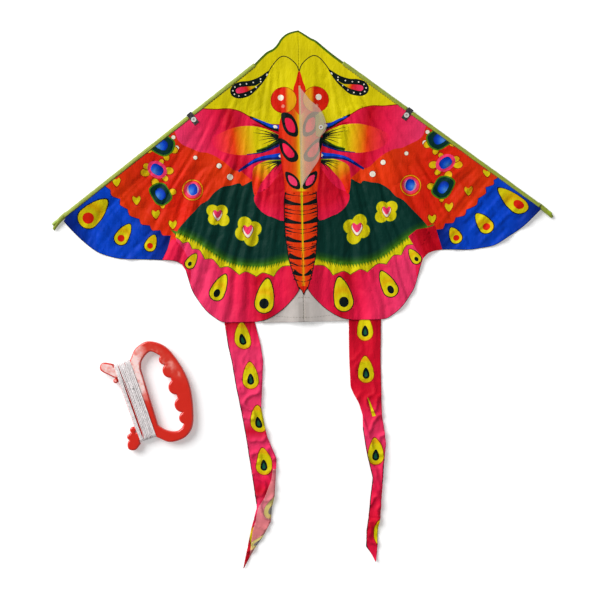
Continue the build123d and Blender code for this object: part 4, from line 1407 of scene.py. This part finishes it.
def make_line(material):
    """The line as one curve, wound on the winder."""
    points = [winder_point(*p) for p in line_points()]
    data = bpy.data.curves.new("kite_line", "CURVE")
    data.dimensions = "3D"
    data.bevel_depth = LINE_D * MM / 2
    data.bevel_resolution = 1
    data.resolution_u = 2
    spline = data.splines.new("NURBS")
    spline.points.add(len(points) - 1)
    for target, p in zip(spline.points, points):
        target.co = (*p, 1)
    spline.order_u = 3
    spline.use_endpoint_u = True
    data.materials.append(material)
    line = linked("kite_line", data)
    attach(line, "winder")
    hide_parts("line_winding")


# ---------------------------------------------------------------- everything
def soften(node, wide):
    """A small round on the edges of a CAD piece."""
    bevel = node.modifiers.new("round edges", "BEVEL")
    bevel.width = wide * MM
    bevel.segments = 2
    bevel.limit_method = "ANGLE"
    bevel.angle_limit = radians(35)


def dress(node_names, material, wide=0.0):
    """Gives CAD pieces a material, and a small round on their edges where a width is given."""
    for name in node_names:
        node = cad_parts[name]
        node.data.materials.clear()
        node.data.materials.append(material)
        if wide:
            soften(node, wide)


def build():
    """Every piece, with its material."""
    satin, satin_back = printed_satin("printed satin"), printed_satin("printed satin back", 0.3)
    sleeve = plain_cloth("sleeve cloth", colour(136, 150, 26))
    lining = plain_cloth("lining", colour(196, 196, 190))
    clear = film("clear film", colour(196, 187, 181), 0.62)
    keel = film("keel film", colour(226, 204, 184), 0.22, 0.4)
    patch = film("keel patch cloth", colour(190, 182, 140), 0.45, 0.6)
    webbing = plain_cloth("webbing", colour(18, 17, 17), pitch=0.0014, strength=0.8)
    vinyl = plastic("vinyl cap", colour(140, 164, 30), 0.35)
    fitting = plastic("black fitting", colour(30, 30, 31), 0.42)
    brass = metal("eyelet metal", colour(236, 234, 226))
    rod = rod_material()
    red = winder_material()
    line = line_material()
    cotton = plastic("thread", colour(226, 206, 190), 0.7)
    dark_cotton = plastic("dark thread", colour(60, 66, 30), 0.7)
    crimson_cotton = plastic("crimson thread", colour(176, 24, 56), 0.7)
    blue_cotton = plastic("blue thread", colour(8, 44, 136), 0.7)
    for name, side in SIDES.items():
        make_sail(name, side, [satin, satin_back])
        make_sleeves(name, side, sleeve)
        make_clear_panel(name, side, clear)
        make_tip_flap(name, side, sleeve)
        make_stitches(name, side, cotton, dark_cotton, crimson_cotton, blue_cotton)
        dress([f"{name}_tab"], webbing, 0.25)
        dress([f"{name}_eyelet"], brass, 0.12)
        dress([f"{name}_spar_tip_cap", f"{name}_spar_shoulder_cap"], vinyl, 0.3)
        dress([f"{name}_leading_edge_spar"], rod, 0.3)
        dress([f"{name}_spreader_hook"], fitting, 0.3)
    dress(["spine_rod", "spreader_rod"], rod, 0.2)
    dress(["spine_nose_cap", "spine_tail_cap"], vinyl, 0.3)
    dress(["spine_sleeve", "nose_pocket", "tail_pocket"], lining, 0.3)
    dress(["keel_patch"], patch)
    dress(["tow_eyelet"], brass, 0.12)
    dress(["keel_seam_tape"], film("seam tape", colour(214, 192, 130), 0.5), 0.08)
    dress(["line_end_knot"], line, 0.3)
    make_keel(keel)
    left_drops = drops_at((-87, -50), (-77, -106), (-67, -167), (-61, -227), (-52, -289), (-71, -332))
    make_tail("left_tail", LEFT_TAIL, left_drops, [], [(-40, -290, "left")], [satin, satin_back])
    right_drops = drops_at((85, -42), (85, -101), (96, -216), (103, -331))
    make_tail("right_tail", RIGHT_TAIL, right_drops, [((95, -165), (86.5, -139), 5.0)],
              [(-180, -360, "left"), (-225, -262, "right")], [satin, satin_back])
    make_winder(red)
    make_line(line)


add_camera()
add_studio()
build()
